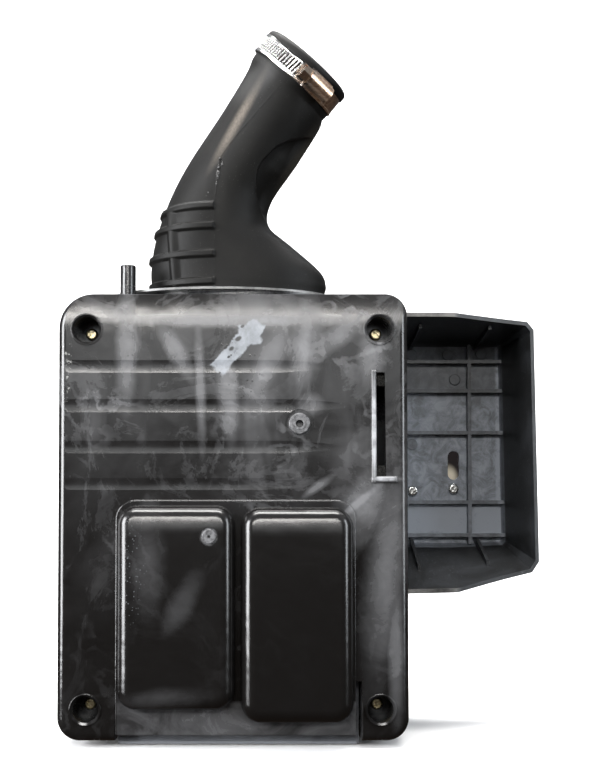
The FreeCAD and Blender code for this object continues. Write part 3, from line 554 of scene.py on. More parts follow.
    b = t.bump(t.noise(60, 3, 0.5), 0.07, 0.0010, b)
    b = t.bump(big, 0.22, 0.006, b)
    b = t.bump(t.math("MAXIMUM", scr, drops), 0.12, 0.0003, b)
    return t.set(color=col, rough=rg, normal=b, spec=0.5)


def m_case():
    """The case: darker than the cover, with a dusty apron made lighter still by
    painted reflection, a painted highlight along its bottom lip, and a pale worn
    edge on the outlet flange."""
    t = Tree("case_plastic")
    big = t.noise(12, 4, 0.6, dist=0.6)
    mid = t.noise(48, 5, 0.64, dist=1.0)
    fine = t.noise(950, 2, 0.5)
    x, y, z = t.sep()
    hz = t.ramp(t.mix(0.45, big, mid, "FLOAT"), [(0.40, 0.0), (0.64, 1.0)])
    apron = t.maprange(y, -0.0975, -0.0960, 1.0, 0.0)
    apron_wear_and_sheen = t.noise(60, 4, 0.65, co=t.mapping(scale=(0.12, 1, 1)), dist=0.4)
    apron_wear_and_sheen = t.math("MULTIPLY", t.ramp(apron_wear_and_sheen, [(0.44, 0.0), (0.62, 1.0)]), apron)
    scr = t.noise(150, 6, 0.72, co=t.mapping(scale=(1, 1, 0.07),
                                             rot=(0, 0.7, 0)))
    scr = t.math("MULTIPLY", t.ramp(scr, [(0.66, 0.0), (0.71, 1.0)]),
                 t.ramp(t.noise(18, 2), [(0.5, 0.0), (0.6, 1.0)]))
    # the apron is lighter than the rest of the case, most on the left: dust and wear, and
    # painted reflection of the light it catches from in front and below
    a = t.math("MULTIPLY", hz, t.maprange(apron, 0, 1, 0.25, 0.50))
    a = t.math("ADD", a, t.math("MULTIPLY", apron, t.maprange(
        x, -0.07, 0.05, 0.30, 0.16)))
    a = t.math("ADD", a, t.math("MULTIPLY", apron_wear_and_sheen, 0.45))
    # painted highlight along the bottom lip
    foot = t.maprange(z, -0.1365, -0.1345, 1.0, 0.0)
    a = t.math("ADD", a, t.math("MULTIPLY", foot, 0.5))
    a = t.math("MAXIMUM", a, t.math("MULTIPLY", scr, 0.45))
    col = t.mix(a, (0.0075, 0.0075, 0.0080), (0.200, 0.210, 0.230))
    lip = t.math("MULTIPLY", t.maprange(z, 0.1430, 0.1434, 0.0, 1.0),
                 t.maprange(z, 0.1449, 0.1452, 1.0, 0.0))
    lip = t.math("MULTIPLY", lip, t.ramp(t.noise(90, 4, 0.7),
                                         [(0.32, 0.35), (0.6, 1.0)]))
    col = t.mix(t.math("MULTIPLY", lip, 0.75), col, (0.24, 0.24, 0.235))
    rg = t.maprange(t.math("ADD", a, t.math("MULTIPLY", fine, 0.15)), 0, 0.7,
                    0.22, 0.46)
    b = t.bump(fine, 0.10, 0.00025)
    b = t.bump(mid, 0.10, 0.0012, b)
    b = t.bump(scr, -0.12, 0.0003, b)
    return t.set(color=col, rough=rg, normal=b, spec=0.5)


def m_tray():
    t = Tree("tray_plastic")
    big = t.noise(14, 4, 0.6, dist=0.5)
    mid = t.noise(60, 5, 0.65, dist=1.0)
    fine = t.noise(1500, 3, 0.6)
    x, y, z = t.sep()
    hz = t.ramp(t.mix(0.5, big, mid, "FLOAT"), [(0.40, 0.0), (0.66, 1.0)])
    # the floor is lighter than the walls and the ribs: dust, and painted reflection of the
    # bluish front light; mid_z darkens it towards the top
    ribs = t.maprange(y, -0.0200, -0.0184, 0.0, 0.45)
    floor = t.math("ADD", ribs, t.maprange(y, -0.0132, -0.0126, 0.0, 0.55))
    # painted reflection: a lighter band across the floor low down
    low = t.maprange(t.math("ABSOLUTE", t.math("ADD", z, 0.003)), 0.006, 0.014,
                     1.0, 0.0, True, "SMOOTHSTEP")
    mid_z = t.maprange(z, 0.088, 0.075, 0.35, 1.0)
    blot = t.ramp(t.noise(85, 6, 0.72, dist=1.4), [(0.42, 0.0), (0.62, 1.0)])
    a = t.math("MULTIPLY", t.math("ADD", t.math("ADD", t.math(
        "MULTIPLY", hz, 0.55), t.math("MULTIPLY", blot, 0.45)), 0.30),
               t.math("MULTIPLY", floor, mid_z))
    # worn pale outline of the raised floor, and painted highlights on the tops of the
    # ejector discs
    outline = t.maprange(t.math("ABSOLUTE", t.math("SUBTRACT", x, 0.1822)),
                         0.0006, 0.0022, 1.0, 0.0)
    outline = t.math("MULTIPLY", outline, t.math(
        "MULTIPLY", floor, t.ramp(t.noise(70, 4, 0.7),
                                  [(0.40, 0.1), (0.62, 1.0)])))
    discs = t.math("MULTIPLY", t.maprange(y, -0.0140, -0.0132, 1.0, 0.0),
                   t.maprange(y, -0.0150, -0.0142, 0.0, 1.0))
    a = t.math("ADD", a, t.math("MULTIPLY", discs, 0.35))
    a = t.math("ADD", a, t.math("MULTIPLY", outline, 0.8))
    a = t.math("ADD", a, t.math("MULTIPLY", t.math("MULTIPLY", low, floor),
                                t.maprange(mid, 0.3, 0.7, 0.3, 0.8)))
    sp = t.math("MULTIPLY", t.ramp(t.voronoi(420), [(0.10, 1.0), (0.17, 0.0)]),
                t.ramp(t.noise(35, 3), [(0.52, 0.0), (0.6, 1.0)]))
    sc = t.noise(150, 6, 0.72, co=t.mapping(scale=(1, 1, 0.08),
                                            rot=(0, -0.7, 0)))
    sc = t.math("MULTIPLY", t.ramp(sc, [(0.66, 0.0), (0.71, 1.0)]), floor)
    # a dull glaze on the inside of the walls
    glaze = t.math("MULTIPLY", t.maprange(y, -0.060, -0.020, 0.06, 0.02),
                   t.ramp(t.noise(26, 5, 0.68, dist=1.6),
                          [(0.44, 0.0), (0.66, 1.0)]))
    a = t.math("ADD", a, glaze)
    col = t.mix(a, (0.0062, 0.0065, 0.0068), (0.290, 0.315, 0.355))
    col = t.mix(t.math("MULTIPLY", t.math("MAXIMUM", sp, sc), 0.4), col,
                (0.20, 0.215, 0.23))
    # pale chalky wear on the cut edge of the rim
    edge = t.maprange(y, -0.0772, -0.0760, 1.0, 0.0)
    rim = t.math("MULTIPLY", edge, t.ramp(t.noise(55, 5, 0.7),
                                          [(0.35, 0.15), (0.6, 1.0)]))
    col = t.mix(t.math("MULTIPLY", rim, 0.55), col, (0.34, 0.33, 0.31))
    rg = t.maprange(t.math("ADD", a, t.math("MULTIPLY", fine, 0.3)), 0, 1.2,
                    0.40, 0.62)
    b = t.bump(fine, 0.22, 0.0003)
    b = t.bump(mid, 0.15, 0.0008, b)
    b = t.bump(sc, -0.2, 0.0002, b)
    return t.set(color=col, rough=rg, normal=b, spec=0.5)


def m_boot():
    t = Tree("boot_rubber")
    fine = t.noise(1600, 3, 0.6)
    grain = t.noise(420, 3, 0.55)
    mid = t.noise(45, 4, 0.6, dist=0.6)
    x, y, z = t.sep()
    bloom = t.ramp(t.noise(22, 4, 0.6, dist=0.8), [(0.42, 0.0), (0.68, 1.0)])
    col = t.mix(t.math("MULTIPLY", bloom, 0.7), (0.0026, 0.0025, 0.0022),
                (0.0075, 0.0071, 0.0060))
    # brown-tinted painted highlight: a narrow streak along the outside of the bend, and a
    # fainter patch on the mouth side
    brown = t.math("MAXIMUM",
                   t.spot(0.0030, 0.2510, 0.0026, 0.024, -31, 0.05, 30, 0.9),
                   t.math("MULTIPLY", t.spot(0.043, 0.232, 0.003, 0.022, -36,
                                             0.08, 30, 0.9), 0.30))
    brown = t.math("MULTIPLY", brown, t.ramp(t.noise(700, 4, 0.7),
                                             [(0.30, 0.55), (0.62, 1.0)]))
    col = t.mix(t.math("MULTIPLY", brown, 0.75), col, (0.165, 0.142, 0.118))
    # painted sheen, a little paler, just under the clamp, and on the end bead's top facet
    cuff = t.spot(0.0150, 0.2760, 0.016, 0.0075, 42, 0.06, 40, 0.6)
    col = t.mix(t.math("MULTIPLY", cuff, 0.5), col, (0.050, 0.050, 0.049))
    specks = t.math("MULTIPLY", t.ramp(t.voronoi(620), [(0.05, 1.0), (0.1, 0.0)]),
                    t.ramp(t.noise(40, 2), [(0.5, 0.0), (0.58, 1.0)]))
    col = t.mix(t.math("MULTIPLY", specks, 0.6), col, (0.16, 0.16, 0.15))
    rg = t.maprange(t.math("ADD", t.math("MULTIPLY", mid, 0.6),
                           t.math("MULTIPLY", fine, 0.4)), 0.3, 0.7, 0.46,
                    0.62)
    b = t.bump(fine, 0.16, 0.00025)
    b = t.bump(grain, 0.12, 0.0004, b)
    b = t.bump(mid, 0.10, 0.0012, b)
    return t.set(color=col, rough=rg, normal=b, spec=0.21, sheen=0.01,
                 sheen_rough=0.5)


def m_flaw():
    """The shiny torn flash along the boot's parting line."""
    t = Tree("boot_flaw")
    n = t.noise(500, 4, 0.6)
    return t.set(color=t.mix(n, (0.010, 0.010, 0.010), (0.05, 0.05, 0.048)),
                 rough=t.maprange(n, 0.3, 0.7, 0.14, 0.4),
                 normal=t.bump(n, 0.5, 0.0006))


def metal(name, base, warm, rough, bump=0.10, spots=0.5, scale=1.0):
    t = Tree(name)
    n = t.noise(160 * scale, 5, 0.65, dist=0.6)
    f = t.noise(1800 * scale, 3, 0.6)
    v = t.ramp(n, [(0.38, 0.0), (0.66, 1.0)])
    col = t.mix(t.math("MULTIPLY", v, spots), base, warm)
    rg = t.maprange(t.math("ADD", t.math("MULTIPLY", v, 0.6),
                           t.math("MULTIPLY", f, 0.4)), 0.1, 0.9, rough[0],
                    rough[1])
    b = t.bump(f, bump, 0.0002)
    b = t.bump(n, 0.12, 0.0005, b)
    return t.set(color=col, rough=rg, metal=1.0, normal=b)


def m_clamp():
    """Bright strip steel, with a painted copper-brown reflection on and round the
    worm housing."""
    t = Tree("clamp_steel")
    n = t.noise(160, 5, 0.65, dist=0.6)
    f = t.noise(1800, 3, 0.6)
    line = t.noise(900, 3, 0.6, co=t.mapping(rot=(0, math.radians(-42), 0),
                                             scale=(0.06, 1, 1)))
    v = t.ramp(n, [(0.38, 0.0), (0.66, 1.0)])
    # painted reflection: copper-brown on and round the worm housing, for the brown
    # surroundings it reflects
    hot = t.spot(0.0560, 0.2625, 0.0135, 0.0125, -42, 0.10, 60, 0.55)
    col = t.mix(t.math("MULTIPLY", v, 0.4), (0.80, 0.80, 0.79),
                (0.60, 0.59, 0.57))
    brown = t.mix(t.ramp(line, [(0.38, 0.0), (0.62, 1.0)]),
                  (0.50, 0.33, 0.22), (0.86, 0.66, 0.50))
    col = t.mix(hot, col, brown)
    rg = t.maprange(t.math("ADD", t.math("MULTIPLY", v, 0.6),
                           t.math("MULTIPLY", f, 0.4)), 0.1, 0.9, 0.12, 0.28)
    rg = t.math("ADD", rg, t.math("MULTIPLY", hot, 0.16))
    b = t.bump(f, 0.06, 0.0002)
    b = t.bump(n, 0.12, 0.0005, b)
    return t.set(color=col, rough=rg, metal=1.0, normal=b)


def m_foam(name, a=(0.012, 0.012, 0.012), c=(0.055, 0.055, 0.052), cell=900):
    t = Tree(name)
    v = t.voronoi(cell, feature="F1")
    n = t.noise(120, 4, 0.6)
    pores = t.ramp(v, [(0.18, 0.0), (0.55, 1.0)])
    col = t.mix(t.math("MULTIPLY", pores, t.ramp(n, [(0.3, 0.5), (0.7, 1.0)])),
                a, c)
    b = t.bump(v, 0.9, 0.0012)
    b = t.bump(n, 0.3, 0.002, b)
    return t.set(color=col, rough=t.maprange(n, 0.3, 0.7, 0.85, 1.0),
                 normal=b, spec=0.15, sheen=0.2)


def m_pipe():
    t = Tree("pipe_plastic")
    n = t.noise(60, 5, 0.65, dist=1.2)
    f = t.noise(900, 3, 0.6)
    run = t.ramp(t.noise(260, 5, 0.7, co=t.mapping(scale=(1, 1, 0.12))),
                 [(0.56, 0.0), (0.70, 1.0)])
    col = t.mix(t.math("MULTIPLY", run, 0.5), (0.007, 0.007, 0.008),
                (0.07, 0.07, 0.07))
    b = t.bump(f, 0.10, 0.0002)
    b = t.bump(n, 0.25, 0.0012, b)
    return t.set(color=col, rough=t.maprange(n, 0.3, 0.7, 0.12, 0.32),
                 normal=b, spec=0.55)


def m_frame():
    return plastic("frame_plastic", (0.020, 0.020, 0.022), (0.055, 0.056, 0.06),
                   (0.4, 0.55), 0.2, 0.5, 0.5, 0.5)


def m_media():
    return m_foam("filter_media", (0.10, 0.085, 0.045), (0.36, 0.31, 0.18), 700)


MATS = {
    "cover_plastic": m_cover(), "case_plastic": m_case(),
    "tray_plastic": m_tray(), "boot_rubber": m_boot(),
    "zinc_screw": metal("zinc_screw", (0.63, 0.55, 0.36), (0.42, 0.36, 0.20),
                        (0.22, 0.42), 0.14, 0.7),
    "bright_screw": metal("bright_screw", (0.72, 0.72, 0.70),
                          (0.50, 0.50, 0.48), (0.16, 0.34), 0.10, 0.5),
    "seal_rubber": plastic("seal_rubber", (0.015, 0.015, 0.015),
                           (0.04, 0.04, 0.038), (0.6, 0.75), 0.3, 0.2, 0.3),
    "black_foam": m_foam("black_foam"),
    "frame_plastic": m_frame(), "filter_media": m_media(),
    "screen_steel": metal("screen_steel", (0.60, 0.60, 0.60),
                          (0.44, 0.43, 0.41), (0.28, 0.42), 0.10, 0.6),
    "clamp_steel": m_clamp(),
    "clamp_screw_steel": metal("clamp_screw_steel", (0.74, 0.64, 0.54),
                               (0.46, 0.31, 0.21), (0.14, 0.30), 0.08, 0.9),
    "pipe_plastic": m_pipe(),
    "insert_brass": metal("insert_brass", (0.62, 0.46, 0.20),
                          (0.40, 0.28, 0.12), (0.24, 0.42), 0.12, 0.6),
}
NODE_MAT = {
    "cover": "cover_plastic", "cover_bulge_left": "cover_plastic",
    "cover_bulge_right": "cover_plastic", "cover_inlet_panel": "cover_plastic",
    "cover_well_tl": "cover_plastic", "cover_well_tr": "cover_plastic",
    "cover_well_bl": "cover_plastic", "cover_well_br": "cover_plastic",
    "rear_case": "case_plastic", "outlet_collar": "case_plastic",
    "battery_tray": "tray_plastic", "tray_screws": "bright_screw",
    "breather_pipe": "pipe_plastic", "mount_inserts": "insert_brass",
    "clamp_housing": "clamp_steel", "clamp_screw": "clamp_screw_steel",
    "filter_frame": "frame_plastic", "cover_screw_tl": "zinc_screw",
    "cover_screw_tr": "zinc_screw", "cover_screw_bl": "zinc_screw",
    "cover_screw_br": "zinc_screw",
}
for node_name, mat_name in NODE_MAT.items():
    ob = bpy.data.objects.get(node_name)
    if ob is None:
        continue
    ob.data.materials.clear()
    ob.data.materials.append(MATS[mat_name])


# =========================================================== the rubber boot
BOOT_ROWS = [
    ((2.5, -46, 128), (0, 0, 1), 57.1, 29.6, 2.0),
    ((2.5, -46, 137), (0, 0, 1), 57.1, 29.6, 2.0),
    ((2.5, -46, 145.6), (0, 0, 1), 57.1, 29.6, 2.0),
    ((2.8, -46, 152), (0, 0, 1), 57.9, 30.0, 2.0),
    ((0.6, -46.5, 161), (0, 0, 1), 56.0, 30.0, 2.1),
    ((-7.6, -48, 177), (0, 0, 1), 45.6, 29.8, 2.1),
    ((-11.8, -50, 195), (0.12, -0.1, 1), 34.8, 29.8, 2.05),
    ((-2.5, -52.5, 219.4), (0.48, -0.19, 0.85), 29.8, 29.6, 2.0),
    ((15.9, -58, 245.6), (0.560, -0.20, 0.80), 29.5, 29.5, 2.0),
    ((31.0, -64, 268.2), (0.600, -0.207, 0.770), 29.6, 29.6, 2.0),
]
RIB_Z = (197.4, 184.8, 167.5, 150.2)
SEAM = ((128, -12.6), (150, -12.6), (198, -12.6), (227.6, -8.8),
        (238.4, -0.6), (255.7, 15.9), (300, 60.0))
SCOOP = np.array([(318, 133.5), (307, 133.4), (301.8, 134.7), (290, 137.0),
                  (276, 143.3), (262.2, 157.1), (257.4, 166), (256.2, 174.3),
                  (255.8, 189.8), (259.6, 205.3), (263, 214.8), (268, 226)])


def smooth(a, b, v):
    t = np.clip((v - a) / (b - a), 0, 1)
    return t * t * (3 - 2 * t)


def catmull(rows, per):
    out = []
    n = len(rows)
    for i in range(n - 1):
        p = [rows[max(i - 1, 0)], rows[i], rows[i + 1], rows[min(i + 2, n - 1)]]
        for k in range(per):
            t = k / per
            w = (-0.5 * t + t * t - 0.5 * t ** 3,
                 1 - 2.5 * t * t + 1.5 * t ** 3,
                 0.5 * t + 2 * t * t - 1.5 * t ** 3,
                 -0.5 * t * t + 0.5 * t ** 3)
            out.append([sum(w[j] * p[j][c] for j in range(4))
                        for c in range(len(rows[0]))])
    out.append(list(rows[-1]))
    return out


def boot_sections(per):
    tail_c = CLAMP_C / MM - MOUTH_AXIS * 9
    rows = [list(c) + list(a) + [w, d, p] for c, a, w, d, p in BOOT_ROWS]
    rows.append(list(tail_c) + list(MOUTH_AXIS) + [29.7, 29.7, 2.0])
    return catmull(rows, per)


def ring(c, axis, hw, hd, p, th):
    a, e1, e2 = frame_of(axis)
    ct, st = np.cos(th), np.sin(th)
    x = hw * np.sign(ct) * np.abs(ct) ** (2 / p)
    y = hd * np.sign(st) * np.abs(st) ** (2 / p)
    e1, e2 = np.array(e1), np.array(e2)
    pts = np.array(c) + x[:, None] * e1 + y[:, None] * e2
    nx, ny = x / hw ** 2, y / hd ** 2
    nrm = nx[:, None] * e1 + ny[:, None] * e2
    nrm /= np.linalg.norm(nrm, axis=1)[:, None]
    return pts, nrm


def seam_x(z):
    return np.interp(z, [s[0] for s in SEAM], [s[1] for s in SEAM])


def seg_dist(px, pz, line):
    """Distance to a polyline, and which side of it, in pixels."""
    best = np.full(px.shape, 1e9)
    side = np.zeros(px.shape)
    for (x0, y0), (x1, y1) in zip(line[:-1], line[1:]):
        dx, dy = x1 - x0, y1 - y0
        ll = dx * dx + dy * dy
        t = np.clip(((px - x0) * dx + (pz - y0) * dy) / ll, 0, 1)
        qx, qy = x0 + t * dx, y0 + t * dy
        d = np.hypot(px - qx, pz - qy)
        s = dx * (pz - qy) - dy * (px - qx)
        upd = d < best
        best = np.where(upd, d, best)
        side = np.where(upd, np.sign(s), side)
    return best, side


def scoop_depth(pts, nrm):
    """How far the hollow on the inside of the bend sinks (mm, inwards)."""
    s = 0.6 * (640 + pts[:, 1] + 112) / 640
    px = 250 + (pts[:, 0] - 10.2) / s
    py = 498 - (pts[:, 2] - 11.4) / s
    d, side = seg_dist(px, py, SCOOP)
    inside = side < 0
    t = d * 0.6
    depth = 5.2 * smooth(0.0, 2.6, t) * (1 - smooth(5.0, 24.0, t))
    front = smooth(-0.02, 0.42, -nrm[:, 1])
    ends = smooth(126, 142, py) * (1 - smooth(206, 226, py))
    return np.where(inside, depth, 0.0) * front * ends


def rib_height(pts, nrm):
    x, z = pts[:, 0], pts[:, 2]
    h = np.zeros(len(x))
    left = smooth(-0.2, 0.5, seam_x(z) - x)
    for k, rz in enumerate(RIB_Z):
        v = np.abs(z - rz)
        h = np.maximum(h, 2.0 * (1 - smooth(1.3, 2.9, v)) * left)
    # the upright rib, with one face slanted
    u = x - np.interp(z, (146, 172, 199), (-37.5, -39.4, -41.0))
    up = 1.7 * smooth(-3.4, -1.2, u) * (1 - smooth(-0.4, 4.4, u))
    up *= (1 - smooth(196.2, 198.6, z)) * smooth(147.4, 148.0, z)
    up *= smooth(0.15, 0.3, -nrm[:, 1])
    h = np.maximum(h, up)
    # the same rib on the hidden side
    up = 1.7 * smooth(-3.4, -1.2, u) * (1 - smooth(1.2, 3.4, u))
    up *= (1 - smooth(196.2, 198.6, z)) * smooth(147.4, 148.0, z)
    up *= smooth(0.15, 0.3, nrm[:, 1])
    h = np.maximum(h, up)
    return h


def seam_line(pts, nrm):
    """A fine raised parting line along the front and back."""
    x, z = pts[:, 0], pts[:, 2]
    d = np.abs(x - seam_x(z))
    amp = np.interp(z, (144, 200, 212, 226, 240, 262, 272),
                    (0.10, 0.12, 0.20, 0.34, 0.26, 0.12, 0.0))
    wob = 1 + 0.9 * np.sin(z * 2.3) * np.sin(z * 1.1 + 0.7)
    return amp * wob * (1 - smooth(0.15, 0.62, d)) * (np.abs(nrm[:, 1]) > 0.35)


def make_boot():
    n = 400
    th = np.linspace(0, 2 * math.pi, n, endpoint=False)
    secs = boot_sections(34)
    rows = []
    outer = []
    for s in secs:
        c, ax, hw, hd, p = s[0:3], s[3:6], s[6], s[7], s[8]
        pts, nrm = ring(c, ax, hw, hd, p, th)
        outer.append((c, ax, hw, hd, p, pts, nrm))
        h = rib_height(pts, nrm) * (pts[:, 2] > 145.6)
        h = h + seam_line(pts, nrm) * smooth(145.2, 146.0, pts[:, 2])
        h = h - scoop_depth(pts, nrm)
        rows.append(pts + nrm * h[:, None])
    a, e1, e2 = frame_of(MOUTH_AXIS)
    e1, e2, a = np.array(e1), np.array(e2), np.array(a)
    cc = np.array(CLAMP_C / MM)
    ca, sa = np.cos(th)[:, None], np.sin(th)[:, None]

    def rev(r, h, k=0.0):
        rr = r + k
        return cc + a * h + (e1 * ca + e2 * sa) * rr

    # cuff: a low step, the band's seat, then the rolled bead
    for r, h in ((29.75, -8.4), (29.85, -7.6), (29.95, -6.9), (30.0, -6.4),
                 (30.0, -3), (30.0, 0), (30.0, 3), (30.0, 6.0), (30.15, 6.4),
                 (30.6, 6.7), (31.1, 7.15), (31.42, 7.7), (31.58, 8.5),
                 (31.6, 9.4), (31.56, 10.3), (31.35, 11.1), (30.95, 11.8),
                 (30.35, 12.35), (29.6, 12.75), (28.8, 13.0), (27.4, 13.0),
                 (26.4, 12.95), (25.7, 12.7), (25.2, 12.25), (25.0, 11.6),
                 (25.0, 4), (25.0, -4), (24.95, -9)):
        rows.append(rev(r, h))
    for c, ax, hw, hd, p, pts, nrm in outer[::-3][1:]:
        w = 3.4 if hw < 40 else 3.4
        ip, inr = ring(c, ax, hw - w, hd - w, p, th)
        dep = np.maximum(scoop_depth(pts, nrm) - 0.0, 0)
        rows.append(ip - inr * dep[:, None])
    verts = np.concatenate(rows) * MM
    ob = make_obj("intake_boot_rubber", verts,
                  grid_faces(len(rows), n, True, True), MATS["boot_rubber"])
    fix_normals(ob)
    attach(ob, "case")
    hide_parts(*[k for k in ("intake_boot_foot", "intake_boot_bend",
                                  "intake_boot_tube", "intake_boot")
                      if k in NODES])
    return ob


BOOT = make_boot()


def make_flash():
    """Torn, shiny flash left along the boot's parting line."""
    me = BOOT.data
    co = np.empty(len(me.vertices) * 3)
    me.vertices.foreach_get("co", co)
    co = co.reshape(-1, 3)
    pts = co / MM
    sc = 0.6 * (640 + pts[:, 1] + 112) / 640
    qx = 250 + (pts[:, 0] - 10.2) / sc
    qy = 498 - (pts[:, 2] - 11.4) / sc
    bm = bmesh.new()
    for i, (fx, fy, r, tall) in enumerate((
            (219.0, 156.5, 0.75, 1.5), (220.6, 161.5, 0.95, 1.7),
            (217.8, 165.0, 1.15, 1.3), (216.6, 170.0, 1.35, 1.6),
            (218.2, 174.5, 0.95, 1.4), (217.2, 179.5, 0.70, 1.8),
            (206.4, 190.0, 0.55, 1.3), (204.8, 193.4, 0.45, 1.2))):
        d = (qx - fx) ** 2 + (qy - fy) ** 2
        near = np.where(d < 2.5)[0]
        k = near[np.argmin(pts[near, 1])]
        c = Vector(co[k])
        nu, nv = 16, 10
        rings = []
        for a in range(nv + 1):
            th = math.pi * a / nv
            row = []
            for b in range(nu):
                ph = 2 * math.pi * b / nu
                u = Vector((math.sin(th) * math.cos(ph),
                            math.sin(th) * math.sin(ph) * 0.55,
                            math.cos(th) * tall))
                w = noise.noise(u * 1.7 + Vector((7.3 * i, 1.1, 2.7)))
                g = noise.noise(u * 4.1 + Vector((3.1, 5.9 * i, 0.4)))
                row.append(bm.verts.new(c + u * (r * MM) * (
                    0.78 + 0.62 * w + 0.30 * g)))
            rings.append(row)
        for a in range(nv):
            for b in range(nu):
                b2 = (b + 1) % nu
                bm.faces.new((rings[a][b], rings[a][b2], rings[a + 1][b2],
                              rings[a + 1][b]))
    bmesh.ops.remove_doubles(bm, verts=bm.verts, dist=1e-6)
    bmesh.ops.recalc_face_normals(bm, faces=bm.faces)
    me2 = bpy.data.meshes.new("boot_flash")
    bm.to_mesh(me2)
    bm.free()
    for f in me2.polygons:
        f.use_smooth = True
    ob = bpy.data.objects.new("boot_flash", me2)
    SC.collection.objects.link(ob)
    me2.materials.append(m_flaw())
    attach(ob, "case")
    return ob


make_flash()


# ============================================================ the hose clamp
HOUSE_PHI = 55.5
AX, E1, E2 = frame_of(MOUTH_AXIS)


def at_ring(phi, r, h):
    a = math.radians(phi)
    far = max(0.0, math.cos(math.radians(phi - 188.0))) ** 1.5
    return CLAMP_C + AX * ((h + 2.0 + 0.6 * far) * MM) + (
        E1 * math.cos(a) + E2 * math.sin(a)) * ((r + 1.3 * far) * MM)


def make_band():
    """Stamped band: raised edge beads and a row of open slots."""
    step = 0.43
    n = int(round(360 / step))
    ws = [-6.0, -5.85, -5.7, -5.55, -5.4, -5.25, -5.1, -4.7, -4.4]
    ws += list(np.linspace(-4.1, 4.1, 21)) + [4.4, 4.7, 5.1, 5.25, 5.4, 5.55,
                                               5.7, 5.85, 6.0]
    rad = []
    for w in ws:
        v = abs(w)
        rad.append(30.15 + 0.34 * (1 - min(1, abs(v - 5.55) / 0.45)) ** 0.6
                   if v > 5.1 else 30.15)
    m = len(ws)
    verts, faces = [], []
    for i in range(n):
        phi = HOUSE_PHI + 360 * i / n
        for w, r in zip(ws, rad):
            verts.append(at_ring(phi, r, w))
    cuts = [78 + 4.3 * k for k in range(30)]
    for i in range(n):
        phi = HOUSE_PHI + 360 * (i + 0.5) / n
        for j in range(m - 1):
            wm = (ws[j] + ws[j + 1]) / 2
            hit = False
            if abs(wm) < 4.15:
                lean = wm * 0.30
                for c in cuts:
                    if abs((phi + lean - c + 180) % 360 - 180) < 1.12:
                        hit = True
            if hit:
                continue
            i2 = (i + 1) % n
            faces.append((i * m + j, i2 * m + j, i2 * m + j + 1, i * m + j + 1))
    ob = make_obj("hose_clamp_band", verts, faces, MATS["clamp_steel"])
    bm = bmesh.new()
    bm.from_mesh(ob.data)
    loose = [v for v in bm.verts if not v.link_faces]
    bmesh.ops.delete(bm, geom=loose, context="VERTS")
    bmesh.ops.recalc_face_normals(bm, faces=bm.faces)
    # faces should look outwards before the thickness goes on
    f = bm.faces[:][0]
    if f.normal.dot(f.calc_center_median() - CLAMP_C) < 0:
        bmesh.ops.reverse_faces(bm, faces=bm.faces)
    bm.to_mesh(ob.data)
    bm.free()
    m2 = ob.modifiers.new("thick", "SOLIDIFY")
    m2.thickness = 0.00055
    m2.offset = 1.0
    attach(ob, "case")
    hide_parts("clamp_band")
    return ob


make_band()
for nm, w in (("clamp_housing", 0.00035), ("clamp_screw", 0.0002)):
    bevel(bpy.data.objects[nm], w, 2, 40)


# ===================================================== foam, screen and seals
def foam_block(name, x0, x1, y0, y1, z0, z1, hole=None, step=0.0016, amp=0.0003,
               mat=None, node=None, body=None, seed=1):
    """A cut foam block: dense surface with the cell texture in its shape."""
    rng = np.random.default_rng(seed)
    bm = bmesh.new()
    nx = max(2, int(round((x1 - x0) / step)))
    nz = max(2, int(round((z1 - z0) / step)))
    ny = max(2, int(round((y1 - y0) / step)))
    xs, ys, zs = (np.linspace(a, b, k + 1) for a, b, k in
                  ((x0, x1, nx), (y0, y1, ny), (z0, z1, nz)))
    if hole:
        hx0, hx1, hz0, hz1 = hole
        xs[np.abs(xs - hx0).argmin()] = hx0
        xs[np.abs(xs - hx1).argmin()] = hx1
        zs[np.abs(zs - hz0).argmin()] = hz0
        zs[np.abs(zs - hz1).argmin()] = hz1

    def solid(i, k):
        if not (0 <= i < nx and 0 <= k < nz):
            return False
        if not hole:
            return True
        cx, cz = (xs[i] + xs[i + 1]) / 2, (zs[k] + zs[k + 1]) / 2
        return not (hx0 < cx < hx1 and hz0 < cz < hz1)

    vm = {}

    def v(i, j, k):
        key = (i, j, k)
        if key not in vm:
            vm[key] = bm.verts.new((xs[i], ys[j], zs[k]))
        return vm[key]

    for i in range(nx):
        for k in range(nz):
            if not solid(i, k):
                continue
            bm.faces.new((v(i, 0, k), v(i + 1, 0, k), v(i + 1, 0, k + 1),
                          v(i, 0, k + 1)))
            bm.faces.new((v(i, ny, k), v(i, ny, k + 1), v(i + 1, ny, k + 1),
                          v(i + 1, ny, k)))
            for di, dk, a, b in ((-1, 0, (0, 0), (0, 1)), (1, 0, (1, 0), (1, 1)),
                                 (0, -1, (0, 0), (1, 0)), (0, 1, (0, 1), (1, 1))):
                if solid(i + di, k + dk):
                    continue
                for j in range(ny):
                    bm.faces.new((v(i + a[0], j, k + a[1]),
                                  v(i + b[0], j, k + b[1]),
                                  v(i + b[0], j + 1, k + b[1]),
                                  v(i + a[0], j + 1, k + a[1])))
    bmesh.ops.recalc_face_normals(bm, faces=bm.faces)
    bm.normal_update()
    bm.verts.ensure_lookup_table()
    moves = rng.random(len(bm.verts))
    nrm = [vv.normal.copy() for vv in bm.verts]
    for q, vv in enumerate(bm.verts):
        vv.co -= nrm[q] * (amp * float(moves[q]))
    me = bpy.data.meshes.new(name)
    bm.to_mesh(me)
    bm.free()
    ob = bpy.data.objects.new(name, me)
    SC.collection.objects.link(ob)
    me.polygons.foreach_set("use_smooth", [True] * len(me.polygons))
    me.materials.append(mat)
    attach(ob, body)
    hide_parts(node)
    return ob


